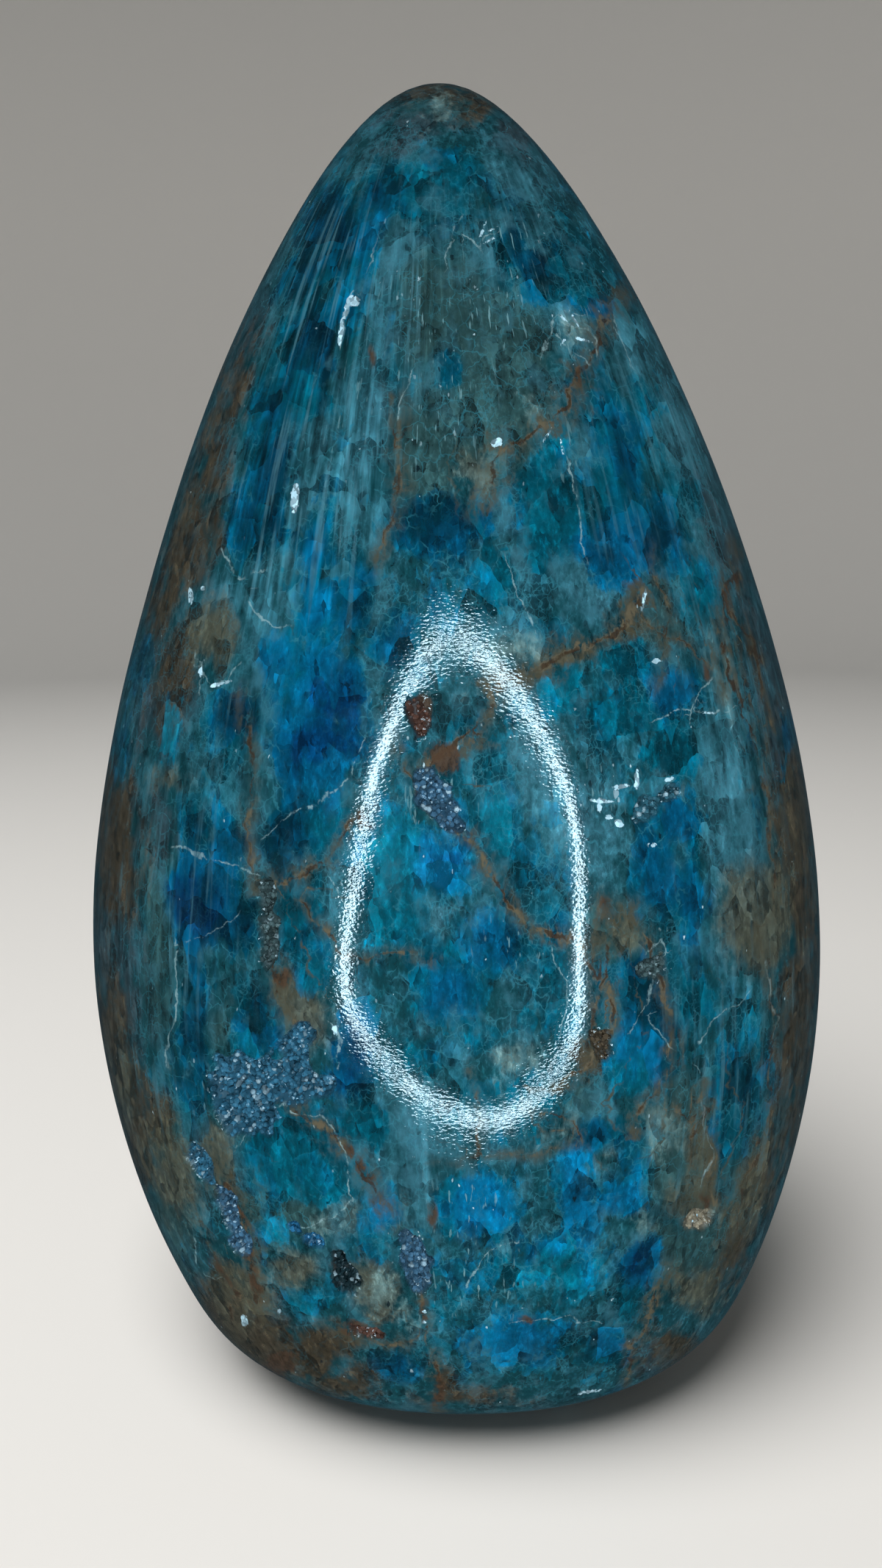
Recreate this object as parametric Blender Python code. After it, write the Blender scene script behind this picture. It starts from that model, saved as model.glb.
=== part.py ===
"""A standing freeform of polished blue apatite, modelled as the one stone that it is.

The body is a lofted egg shape on a flat ground base: wide and full low down, narrowing to a
rounded tip. Its sections are rounded ellipses, a little off the middle here and there, as a
hand-ground stone is. Broken pockets, lined with small crystals in the real stone, are cut into it.

Units are metres, +Z is up and the photographed face looks towards -Y.
"""

import math

import bmesh
import bpy
import numpy as np
from mathutils import Matrix, Vector, noise

MM = 0.001

# The stone's outline, from the ground base to the tip: height, half width, and how far the
# section's middle stands to the right (+X) and to the back (+Y), all in millimetres.
SECTIONS_MM = (
    (0, 21.5, 1.2, 0.0),
    (2.5, 27.0, 1.2, 0.0),
    (7, 33.2, 1.1, -0.2),
    (14, 36.9, 0.9, -0.4),
    (24, 40.2, 0.6, -0.4),
    (38, 43.1, 0.3, 0.0),
    (56, 43.8, 0.0, 0.3),
    (78, 40.5, -0.1, 0.5),
    (99, 34.1, -0.2, 0.3),
    (118, 26.4, -0.5, 0.1),
    (134, 17.7, -0.8, 0.0),
    (144, 10.3, -1.0, 0.0),
    (150, 0.0, -1.1, 0.0),
)
DEPTH_RATIO = 0.8
SECTION_POWER = 2.15

AROUND = 64
RINGS = 44
RING_CROWDING = 0.08

# Broken pockets: azimuth in degrees from the photographed face, turning towards +X, then the
# height, half width, half height and depth in millimetres, and how far the top leans to the
# right in degrees, seen from outside.
POCKETS_MM = (
    (-35.5, 46.5, 4.2, 4.6, 2.4, 0),
    (-27.5, 49.0, 4.4, 2.7, 2.1, 0),
    (-26.0, 53.0, 1.8, 2.8, 1.5, 0),
    (-30.5, 64.5, 0.9, 5.0, 1.2, 0),
    (-3.5, 77.0, 1.5, 3.9, 1.4, -38),
    (33.5, 76.0, 1.1, 3.4, 1.3, 60),
    (-9.2, 29.6, 1.5, 4.2, 1.3, -10),
    (-27.9, 31.2, 1.0, 2.1, 1.2, -58),
    (-22.0, 27.2, 1.5, 2.8, 2.0, -14),
    (-19.5, 19.5, 1.9, 1.2, 1.0, 0),
    (-6.5, 84.5, 1.0, 2.0, 0.8, 0),
    (-41.2, 31.0, 1.5, 4.4, 1.1, -8),
    (-45.0, 37.5, 1.7, 2.4, 0.9, -20),
    (30.5, 60.0, 1.4, 1.4, 0.9, 0),
    (22.5, 53.0, 1.2, 1.8, 0.8, 0),
    (41.5, 30.5, 1.7, 1.7, 0.9, 0),
    (84.0, 62.0, 1.4, 5.0, 1.2, 12),
    (128.0, 42.0, 4.0, 3.0, 1.9, 0),
    (166.0, 88.0, 1.8, 3.4, 1.3, -20),
    (-152.0, 58.0, 3.4, 2.4, 1.6, 0),
    (-118.0, 33.0, 2.0, 4.6, 1.4, 15),
    (-96.0, 96.0, 1.2, 2.6, 1.0, 0),
)
POCKET_ROUGHNESS = 0.16
LARGE_POCKET = 2.3 * MM

SHARP_EDGE = math.radians(28)
SAMPLES = 400

HEIGHT, HALF_WIDTH, MIDDLE_X, MIDDLE_Y = range(4)


def spline(knots, rows, slopes_at_end, at):
    """A cubic through the rows at the knots, straight at the start and with these slopes at the end."""
    steps = np.diff(knots)
    rises = np.diff(rows, axis=0) / steps[:, None]
    matrix = np.zeros((len(knots), len(knots)))
    wanted = np.zeros_like(rows)
    matrix[0, 0] = 1
    for i in range(1, len(knots) - 1):
        matrix[i, i - 1 : i + 2] = steps[i - 1], 2 * (steps[i - 1] + steps[i]), steps[i]
        wanted[i] = 6 * (rises[i] - rises[i - 1])
    matrix[-1, -2:] = steps[-1], 2 * steps[-1]
    wanted[-1] = 6 * (slopes_at_end - rises[-1])
    bend = np.linalg.solve(matrix, wanted)
    i = np.clip(np.searchsorted(knots, at, side="right") - 1, 0, len(steps) - 1)
    step = steps[i][:, None]
    after, before = (at - knots[i])[:, None], (knots[i + 1] - at)[:, None]
    curved = (bend[i] * before**3 + bend[i + 1] * after**3) / (6 * step)
    straight_start = (rows[i] / step - bend[i] * step / 6) * before
    straight_end = (rows[i + 1] / step - bend[i + 1] * step / 6) * after
    return curved + straight_start + straight_end


def sections(stations):
    """The stone's sections at stations from 0, the base, to 1, the tip, centred over the origin."""
    rows = np.array(SECTIONS_MM, float) * MM
    knots = np.append(0, np.cumsum(np.hypot(*np.diff(rows[:, :2], axis=0).T)))
    tip_slopes = np.array([0.0, -1.0, 0.0, 0.0])
    everywhere = np.linspace(0, knots[-1], SAMPLES)
    both = spline(knots, rows, tip_slopes, np.append(everywhere, stations * knots[-1]))
    for column, ratio in ((MIDDLE_X, 1), (MIDDLE_Y, DEPTH_RATIO)):
        reach = both[:SAMPLES, HALF_WIDTH] * ratio
        sides = both[:SAMPLES, column] + reach, both[:SAMPLES, column] - reach
        both[:, column] -= (sides[0].max() + sides[1].min()) / 2
    return both[SAMPLES:]


def surface_point(azimuth, section):
    """The point of a section in this direction, on an ellipse that is slightly squared."""
    height, half_width, middle_x, middle_y = section
    if half_width <= 0:
        return Vector((middle_x, middle_y, height))
    across = abs(math.sin(azimuth)) / half_width
    deep = abs(math.cos(azimuth)) / (half_width * DEPTH_RATIO)
    reach = (across**SECTION_POWER + deep**SECTION_POWER) ** (-1 / SECTION_POWER)
    out = Vector((math.sin(azimuth), -math.cos(azimuth), 0)) * reach
    return Vector((middle_x, middle_y, height)) + out


def surface_frame(azimuth, height):
    """A frame on the surface: X runs around the stone, Y up along it and Z straight out of it."""
    stations = np.linspace(0, 1, SAMPLES)
    heights = sections(stations)[:, HEIGHT]
    nudge = 1 / SAMPLES
    station = np.interp(height, heights, stations)
    here, above = sections(np.array([station, station + nudge]))
    centre = surface_point(azimuth, here)
    around = (surface_point(azimuth + nudge, here) - centre).normalized()
    upward = (surface_point(azimuth, above) - centre).normalized()
    outward = around.cross(upward).normalized()
    frame = Matrix((around, outward.cross(around), outward)).transposed().to_4x4()
    return Matrix.Translation(centre) @ frame


def apatite_material():
    material = bpy.data.materials.new("apatite")
    material.use_nodes = True
    shader = material.node_tree.nodes["Principled BSDF"]
    shader.inputs["Base Color"].default_value = (0.02, 0.17, 0.23, 1)
    shader.inputs["Roughness"].default_value = 0.12
    shader.inputs["Metallic"].default_value = 0
    return material


def stone_body():
    """The smooth loft: one ring of points for each section, bridged, with a flat base and a tip."""
    bm = bmesh.new()
    even = np.linspace(0, 1, RINGS + 1)
    stations = even - RING_CROWDING * np.sin(2 * math.pi * even)
    rings = []
    for section in sections(stations)[:-1]:
        circle = bmesh.ops.create_circle(bm, segments=AROUND, radius=1)["verts"]
        edges = {edge for vert in circle for edge in vert.link_edges}
        for vert in circle:
            vert.co = surface_point(math.atan2(vert.co.x, -vert.co.y), section)
        rings.append(list(edges))
    for lower, upper in zip(rings, rings[1:]):
        bmesh.ops.bridge_loops(bm, edges=lower + upper)
    base, cap = (bmesh.ops.contextual_create(bm, geom=ring)["faces"] for ring in (rings[0], rings[-1]))
    tip = bmesh.ops.poke(bm, faces=cap)["verts"][0]
    tip.co = surface_point(0, sections(np.ones(1))[0])
    bmesh.ops.recalc_face_normals(bm, faces=bm.faces)
    body = new_object("apatite_freeform", bm)
    body.data.shade_smooth()
    body.data.set_sharp_from_angle(angle=SHARP_EDGE)
    return body


def pocket_cutters():
    """One lumpy, faceted ball for each pocket, sunk to the pocket's depth where the surface is."""
    bm = bmesh.new()
    for azimuth, height, half_width, half_height, depth, lean in POCKETS_MM:
        size = Vector((half_width, half_height, depth)) * MM
        detail = 2 if max(size) > LARGE_POCKET else 1
        ball = bmesh.ops.create_icosphere(bm, subdivisions=detail, radius=1)["verts"]
        frame = surface_frame(math.radians(azimuth), height * MM)
        for vert in ball:
            lump = noise.noise(vert.co * 2 + frame.translation / MM)
            chip = noise.cell(vert.co * 9 + frame.translation / MM) - 0.5
            vert.co *= 1 + POCKET_ROUGHNESS * (lump + chip)
        leaning = frame @ Matrix.Rotation(-math.radians(lean), 4, "Z")
        bmesh.ops.transform(bm, verts=ball, matrix=leaning @ Matrix.Diagonal(size).to_4x4())
    cutters = new_object("pocket_cutters", bm)
    cutters.hide_render = True
    cutters.display_type = "WIRE"
    return cutters


def new_object(name, bm):
    mesh = bpy.data.meshes.new(name)
    bm.to_mesh(mesh)
    bm.free()
    made = bpy.data.objects.new(name, mesh)
    bpy.context.collection.objects.link(made)
    return made


def main():
    for old in list(bpy.data.objects):
        bpy.data.objects.remove(old)
    stone = stone_body()
    stone.data.materials.append(apatite_material())
    cut = stone.modifiers.new("pockets", "BOOLEAN")
    cut.operation = "DIFFERENCE"
    cut.use_self = True
    cut.object = pocket_cutters()


main()
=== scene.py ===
"""The looks of the polished apatite freeform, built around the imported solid.

The stone is the same lofted form as the solid, remade as a finer mesh with the polish's slight
waviness and the broken pockets' crystals. Its markings are laid out as named patches, zones and
lines. Those on the photographed face are given in pixels of the photograph, 1200 wide and 2133
high, and are thrown onto the stone through the photograph's camera. Those on the rest of the
stone are drawn at random. Lengths are in metres unless a name says otherwise.
"""

import math

import bmesh
import bpy
import numpy as np
from mathutils import Matrix, Vector, noise

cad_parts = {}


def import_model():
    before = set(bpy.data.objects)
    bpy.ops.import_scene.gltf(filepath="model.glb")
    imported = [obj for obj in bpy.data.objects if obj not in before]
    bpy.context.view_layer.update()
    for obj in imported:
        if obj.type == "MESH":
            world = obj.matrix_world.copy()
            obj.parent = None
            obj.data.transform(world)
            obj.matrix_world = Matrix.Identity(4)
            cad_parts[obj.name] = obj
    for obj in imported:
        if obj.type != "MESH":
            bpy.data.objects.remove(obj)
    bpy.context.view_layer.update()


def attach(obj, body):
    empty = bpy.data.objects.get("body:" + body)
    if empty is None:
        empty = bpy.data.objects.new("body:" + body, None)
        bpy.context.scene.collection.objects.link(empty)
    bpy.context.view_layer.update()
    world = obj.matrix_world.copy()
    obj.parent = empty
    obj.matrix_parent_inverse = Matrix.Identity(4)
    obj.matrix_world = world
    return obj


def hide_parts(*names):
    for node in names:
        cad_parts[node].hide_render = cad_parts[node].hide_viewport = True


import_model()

MM = 0.001
SEED = 11

# The stone's outline, from the ground base to the tip: height, half width, and how far the
# section's middle stands to the right (+X) and to the back (+Y), all in millimetres.
SECTIONS_MM = (
    (0, 21.5, 1.2, 0.0),
    (2.5, 27.0, 1.2, 0.0),
    (7, 33.2, 1.1, -0.2),
    (14, 36.9, 0.9, -0.4),
    (24, 40.2, 0.6, -0.4),
    (38, 43.1, 0.3, 0.0),
    (56, 43.8, 0.0, 0.3),
    (78, 40.5, -0.1, 0.5),
    (99, 34.1, -0.2, 0.3),
    (118, 26.4, -0.5, 0.1),
    (134, 17.7, -0.8, 0.0),
    (144, 10.3, -1.0, 0.0),
    (150, 0.0, -1.1, 0.0),
)
DEPTH_RATIO = 0.8
SECTION_POWER = 2.15
HEIGHT, HALF_WIDTH, MIDDLE_X, MIDDLE_Y = range(4)
SAMPLES = 400

# Broken pockets: azimuth in degrees from the photographed face, turning towards +X, then the
# height, half width, half height and depth in millimetres, and how far the top leans to the
# right in degrees, seen from outside.
POCKETS_MM = (
    (-35.5, 46.5, 4.2, 4.6, 2.4, 0),
    (-27.5, 49.0, 4.4, 2.7, 2.1, 0),
    (-26.0, 53.0, 1.8, 2.8, 1.5, 0),
    (-30.5, 64.5, 0.9, 5.0, 1.2, 0),
    (-3.5, 77.0, 1.5, 3.9, 1.4, -38),
    (33.5, 76.0, 1.1, 3.4, 1.3, 60),
    (-9.2, 29.6, 1.5, 4.2, 1.3, -10),
    (-27.9, 31.2, 1.0, 2.1, 1.2, -58),
    (-22.0, 27.2, 1.5, 2.8, 2.0, -14),
    (-19.5, 19.5, 1.9, 1.2, 1.0, 0),
    (-6.5, 84.5, 1.0, 2.0, 0.8, 0),
    (-41.2, 31.0, 1.5, 4.4, 1.1, -8),
    (-45.0, 37.5, 1.7, 2.4, 0.9, -20),
    (30.5, 60.0, 1.4, 1.4, 0.9, 0),
    (22.5, 53.0, 1.2, 1.8, 0.8, 0),
    (41.5, 30.5, 1.7, 1.7, 0.9, 0),
    (84.0, 62.0, 1.4, 5.0, 1.2, 12),
    (128.0, 42.0, 4.0, 3.0, 1.9, 0),
    (166.0, 88.0, 1.8, 3.4, 1.3, -20),
    (-152.0, 58.0, 3.4, 2.4, 1.6, 0),
    (-118.0, 33.0, 2.0, 4.6, 1.4, 15),
    (-96.0, 96.0, 1.2, 2.6, 1.0, 0),
)
# What lines each pocket, in the same order.
LININGS = {
    "steel": (0.021, 0.088, 0.145),
    "dusk": (0.032, 0.085, 0.143),
    "blue": (0.012, 0.09, 0.19),
    "pale": (0.11, 0.18, 0.20),
    "grey": (0.020, 0.075, 0.105),
    "dark": (0.008, 0.020, 0.025),
    "ash": (0.034, 0.058, 0.062),
    "rust": (0.055, 0.027, 0.020),
    "brown": (0.045, 0.034, 0.022),
    "tan": (0.17, 0.15, 0.11),
}
POCKET_LININGS = (
    "steel", "steel", "steel", "ash", "dusk", "grey", "dusk", "blue", "dark", "rust", "rust",
    "dusk", "steel", "ash", "brown", "tan", "pale", "blue", "steel", "steel", "rust", "pale",
)
POCKET_FLOOR = 0.65
WALL_SLOPE = 2.2
RIM_WANDER = 1.2 * MM
RIM_WANDER_SIZE = 1.9 * MM
RIM_CHIPS = 0.25 * MM
RIM_CHIP_SIZE = 0.5 * MM
CRYSTAL_SIZE = 0.75 * MM
CRYSTAL_TILT = 0.9
CRYSTAL_MOUND = 0.5

# The fine mesh: a coarse grid whose long edges are split until they are this short.
GRID_AROUND = 48
GRID_RINGS = 30
EDGE_FRONT = 1.4 * MM
EDGE_BACK = 2 * MM
EDGE_POCKET = 0.33 * MM
EDGE_MARK = 0.35 * MM
EDGE_LINE = 1.0 * MM
EDGE_GROWTH = 0.5
SPLIT_PASSES = 6

MARKS_BEFORE = -8 * MM
WAVES = ((21 * MM, 0.09 * MM), (9 * MM, 0.03 * MM))
WAVE_FADE = 3 * MM
SHARP_EDGE = math.radians(32)

# The photograph's camera, found from the stone's outline.
PHOTO_WIDTH_PX = 1200
PHOTO_HEIGHT_PX = 2133
FOCAL_PX = 1600
SENSOR = 36
CAMERA_AT = Vector((-1.7, -141.2, 99.9)) * MM
CAMERA_PITCH = math.radians(11.1)
CAMERA_ROLL = math.radians(-0.63)
PX_PER_MM = 14

# Markings on the photographed face: middle x and y, half width, half height and lean in degrees,
# towards the upper right.
COBALT_PX = (
    (462, 945, 34, 56, -5),
    (440, 1012, 52, 26, 0),
    (272, 1225, 40, 54, 0),
    (478, 1440, 30, 50, 0),
    (872, 1716, 32, 33, 0),
)
AZURE_PX = (
    (428, 748, 21, 56, 6),
    (475, 815, 26, 48, 5),
    (425, 945, 24, 46, 5),
    (835, 752, 42, 50, 0),
    (915, 940, 30, 32, 0),
    (895, 1185, 32, 62, 0),
    (935, 1215, 22, 60, -10),
    (918, 1115, 30, 34, 0),
    (668, 1282, 36, 38, 0),
    (705, 1822, 66, 26, 0),
    (808, 415, 20, 15, 0),
    (535, 880, 24, 34, 10),
    (787, 1617, 20, 38, 0),
    (847, 1630, 20, 28, 0),
    (615, 1350, 32, 36, 0),
    (425, 1000, 58, 96, 0),
)
BRIGHT_AZURE_PX = (
    (496, 352, 13, 52, 12),
    (430, 835, 22, 34, 5),
    (378, 898, 24, 36, 5),
    (862, 1432, 25, 44, 10),
    (605, 1185, 44, 38, 0),
    (652, 1642, 54, 46, 0),
    (750, 1690, 30, 17, 0),
    (515, 1640, 26, 26, 0),
    (775, 1580, 17, 18, 0),
)
DEEP_PX = (
    (266, 1128, 20, 34, 0),
    (348, 715, 40, 38, 8),
    (885, 1400, 34, 84, -6),
    (862, 1325, 20, 28, 0),
    (988, 1535, 15, 44, 5),
    (1000, 1475, 26, 40, 15),
    (525, 258, 25, 38, 20),
    (456, 418, 11, 42, 8),
    (1047, 1455, 12, 25, 0),
    (368, 640, 30, 64, 12),
    (895, 722, 30, 46, -20),
    (535, 1862, 26, 16, 0),
    (448, 330, 40, 60, 18),
    (408, 390, 30, 30, 15),
    (420, 462, 38, 46, 15),
    (372, 548, 26, 44, 15),
    (452, 282, 24, 24, 10),
    (698, 328, 16, 40, 5),
    (732, 368, 24, 38, -5),
    (612, 502, 17, 26, 5),
    (848, 632, 20, 54, -8),
    (600, 715, 60, 36, 0),
    (322, 975, 26, 30, 0),
    (318, 1150, 30, 26, 0),
    (382, 1140, 30, 46, 0),
    (328, 1255, 24, 40, 0),
    (352, 1390, 26, 44, 0),
    (815, 1545, 24, 24, 0),
    (835, 1832, 24, 22, 20),
    (195, 900, 9, 28, 5),
    (163, 1020, 8, 30, 3),
    (755, 850, 6, 10, 0),
    (264, 1392, 20, 108, -2),
    (1065, 1005, 14, 36, 0),
)
TEAL_PX = (
    (608, 228, 30, 22, 0),
    (572, 250, 14, 40, 12),
    (415, 548, 32, 36, 12),
    (825, 572, 26, 40, -10),
    (820, 662, 18, 44, -8),
    (748, 700, 52, 66, -5),
    (676, 782, 24, 32, 0),
    (408, 1250, 40, 46, 0),
    (430, 1325, 26, 28, 0),
    (490, 1532, 40, 32, 0),
    (448, 1615, 26, 26, 0),
    (515, 1690, 26, 24, 0),
    (757, 1352, 12, 30, 0),
    (915, 1030, 34, 34, 0),
    (955, 1358, 16, 26, 0),
    (860, 1568, 11, 24, -10),
    (862, 1768, 18, 24, 10),
    (440, 1108, 44, 42, 0),
    (398, 1570, 68, 64, -5),
    (600, 1320, 40, 40, 0),
)
LIGHT_TEAL_PX = (
    (835, 905, 34, 30, 0),
    (770, 950, 26, 34, 0),
    (675, 1122, 26, 36, 0),
    (642, 1408, 24, 18, 0),
    (572, 1430, 22, 20, 0),
    (838, 972, 34, 30, 0),
    (770, 1728, 70, 24, 0),
    (540, 1200, 50, 90, 0),
    (228, 1000, 11, 34, 0),
    (948, 800, 32, 44, -12),
    (752, 606, 22, 26, 0),
)
FAINT_TEAL_PX = (
    (800, 345, 36, 30, 0),
    (880, 545, 28, 30, -15),
    (930, 672, 28, 30, -15),
    (215, 1455, 16, 22, 0),
    (405, 1783, 46, 20, -8),
    (375, 1670, 26, 20, 0),
    (690, 1520, 90, 60, 0),
)
MILK_PX = (
    (537, 345, 18, 54, 12),
    (490, 610, 20, 90, 10),
    (432, 600, 11, 42, 8),
    (414, 690, 12, 46, 8),
    (462, 735, 9, 40, 6),
    (525, 722, 13, 24, 10),
    (358, 950, 7, 70, 3),
    (498, 930, 5, 75, 8),
    (668, 338, 17, 42, 10),
    (720, 318, 14, 20, 5),
    (782, 448, 27, 27, 0),
    (860, 478, 20, 32, -15),
    (765, 600, 22, 34, -10),
    (692, 792, 10, 40, -22),
    (925, 590, 22, 80, -22),
    (948, 805, 40, 56, -12),
    (800, 812, 28, 28, 0),
    (470, 1650, 20, 44, -5),
    (570, 1600, 24, 60, 0),
    (990, 1090, 30, 100, -5),
    (740, 1050, 30, 90, -12),
    (825, 1130, 22, 60, 0),
    (700, 240, 30, 36, -15),
    (560, 1520, 50, 28, 0),
    (600, 1250, 20, 60, 0),
    (307, 815, 18, 9, 0),
    (908, 848, 46, 36, 0),
    (600, 1560, 60, 20, 0),
    (770, 1698, 44, 12, 5),
    (640, 1600, 20, 14, 0),
)
TAUPE_PX = (
    (318, 540, 15, 70, 18),
    (288, 640, 20, 66, 16),
    (258, 750, 32, 56, 12),
    (235, 930, 24, 80, 10),
    (160, 1150, 36, 110, 2),
    (320, 1800, 44, 80, -35),
    (430, 1842, 60, 36, -20),
    (1078, 1520, 18, 66, 12),
    (1090, 1330, 24, 70, 0),
    (180, 1560, 28, 70, -12),
    (600, 1885, 20, 30, 0),
    (585, 128, 46, 12, 0),
    (660, 145, 36, 16, -40),
    (212, 830, 18, 60, 10),
    (138, 1080, 26, 120, 3),
    (148, 1430, 30, 110, 0),
    (920, 1838, 34, 32, 20),
    (635, 1900, 66, 14, 0),
    (215, 1530, 16, 30, 0),
    (1065, 1440, 14, 70, 5),
    (262, 700, 16, 60, 10),
    (228, 800, 20, 70, 12),
    (292, 714, 13, 40, 5),
    (1016, 876, 13, 32, -10),
    (345, 1870, 60, 34, -30),
    (1082, 1420, 26, 90, 2),
    (832, 1238, 16, 30, 0),
    (600, 122, 60, 16, 0),
    (178, 1510, 30, 70, -10),
    (335, 1830, 70, 50, -32),
    (470, 1880, 60, 22, -8),
    (520, 1775, 20, 30, 0),
    (1000, 1700, 24, 60, 22),
    (1040, 1600, 22, 60, 14),
    (800, 1442, 24, 18, -20),
    (1080, 1100, 28, 150, -2),
    (1092, 1230, 22, 110, -2),
    (590, 112, 70, 12, 0),
    (700, 925, 26, 9, -25),
    (780, 888, 44, 8, -20),
    (862, 840, 10, 26, 14),
)
TAN_PX = (
    (1030, 1245, 60, 82, 0),
    (950, 1625, 34, 36, 0),
    (1022, 1625, 24, 70, 18),
    (950, 1755, 46, 34, 25),
    (418, 1385, 30, 46, -35),
    (172, 1475, 20, 60, -5),
    (645, 640, 32, 26, 0),
    (818, 1580, 15, 10, 0),
    (234, 1058, 26, 20, 0),
    (405, 1365, 46, 56, -20),
    (940, 1640, 44, 34, 10),
    (955, 1560, 24, 34, 0),
    (330, 1760, 40, 60, -25),
    (300, 1560, 30, 24, -30),
    (520, 1760, 26, 40, -10),
    (775, 1540, 18, 14, 0),
    (290, 860, 36, 54, 5),
    (232, 1590, 34, 80, -18),
    (400, 1728, 34, 32, -20),
    (505, 1750, 34, 50, -12),
    (292, 1570, 34, 60, -14),
    (852, 1275, 22, 28, 0),
    (778, 892, 94, 10, -20),
)
CREAM_PX = (
    (898, 1530, 26, 46, 5),
    (868, 1660, 24, 16, 0),
    (665, 1478, 22, 18, 0),
    (705, 1440, 32, 18, 0),
    (980, 890, 10, 64, -8),
    (913, 1078, 16, 20, 0),
    (598, 150, 11, 22, 20),
    (742, 585, 38, 12, 50),
    (452, 1400, 8, 40, 0),
    (740, 1545, 36, 14, -8),
    (920, 1545, 16, 22, 0),
    (955, 1655, 14, 12, 0),
    (700, 882, 44, 16, -10),
    (475, 1655, 12, 26, 0),
    (780, 1530, 20, 18, 0),
    (520, 1762, 22, 30, -10),
    (645, 645, 22, 18, 0),
    (442, 1672, 20, 26, 0),
    (548, 1782, 16, 30, -12),
    (782, 446, 18, 18, 0),
    (675, 622, 14, 10, 0),
)
SLATE_PX = (
    (148, 1290, 26, 90, 0),
    (178, 1350, 20, 75, 0),
    (1035, 880, 24, 80, -20),
    (1092, 1220, 14, 110, -3),
    (900, 1855, 50, 30, 25),
    (575, 165, 44, 18, 0),
    (545, 200, 34, 14, -30),
    (200, 960, 16, 60, 8),
    (1000, 760, 20, 70, -18),
    (330, 480, 14, 70, 22),
    (700, 190, 24, 40, -30),
    (975, 725, 20, 80, -16),
    (1055, 970, 26, 120, -10),
    (220, 1118, 18, 46, 0),
    (222, 970, 26, 50, 8),
)
GREY_GREEN_PX = (
    (665, 520, 96, 140, 5),
    (580, 620, 50, 90, 5),
    (600, 420, 60, 90, 10),
    (905, 845, 60, 44, 0),
    (600, 140, 60, 26, 0),
    (960, 1700, 50, 80, 20),
    (298, 872, 24, 46, 0),
    (302, 1398, 18, 44, 0),
    (225, 1640, 30, 140, -14),
    (935, 810, 54, 58, 0),
    # This long band down the left edge is partly a painted sheen, the edge's grey reflection.
    (212, 1260, 24, 200, 0),
    (328, 1590, 18, 70, -12),
    (343, 1090, 8, 95, 0),
    (930, 1560, 56, 110, 10),
    (890, 1710, 50, 60, 10),
    (1000, 1640, 30, 90, 16),
    (770, 1500, 60, 34, 0),
    (240, 1560, 30, 60, -10),
    (505, 1668, 34, 28, 0),
    (400, 1655, 50, 36, 0),
    (433, 1833, 44, 26, 0),
    (508, 1664, 32, 40, 0),
    (838, 1262, 42, 56, 0),
    (770, 893, 100, 16, -20),
    (345, 1640, 30, 70, -18),
)
RUST_PX = (
    (790, 505, 6, 14, 0),
    (505, 482, 5, 13, 0),
    (572, 968, 11, 26, 10),
    (600, 1032, 26, 16, 40),
    (497, 1120, 15, 9, 30),
    (832, 1230, 7, 10, 0),
    (491, 1811, 22, 9, 5),
    (577, 1788, 5, 17, 0),
    (715, 1797, 11, 7, 0),
    (388, 1860, 13, 9, -25),
    (597, 1895, 9, 26, 0),
    (955, 1634, 6, 15, 0),
    (822, 1418, 10, 14, 20),
    (384, 1325, 9, 12, 0),
    (462, 1728, 12, 22, -15),
    (345, 1745, 8, 20, -20),
    (380, 1852, 26, 12, -20),
    (964, 916, 6, 9, 0),
    (996, 806, 5, 20, 0),
    (478, 1572, 6, 9, -35),
    (493, 1591, 8, 12, -30),
    (508, 1607, 6, 8, -20),
    (308, 1736, 5, 26, -20),
    (338, 1700, 5, 26, -12),
    (322, 1645, 5, 28, -22),
    (346, 1745, 4, 18, -4),
    (586, 1655, 7, 15, 0),
)

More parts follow.
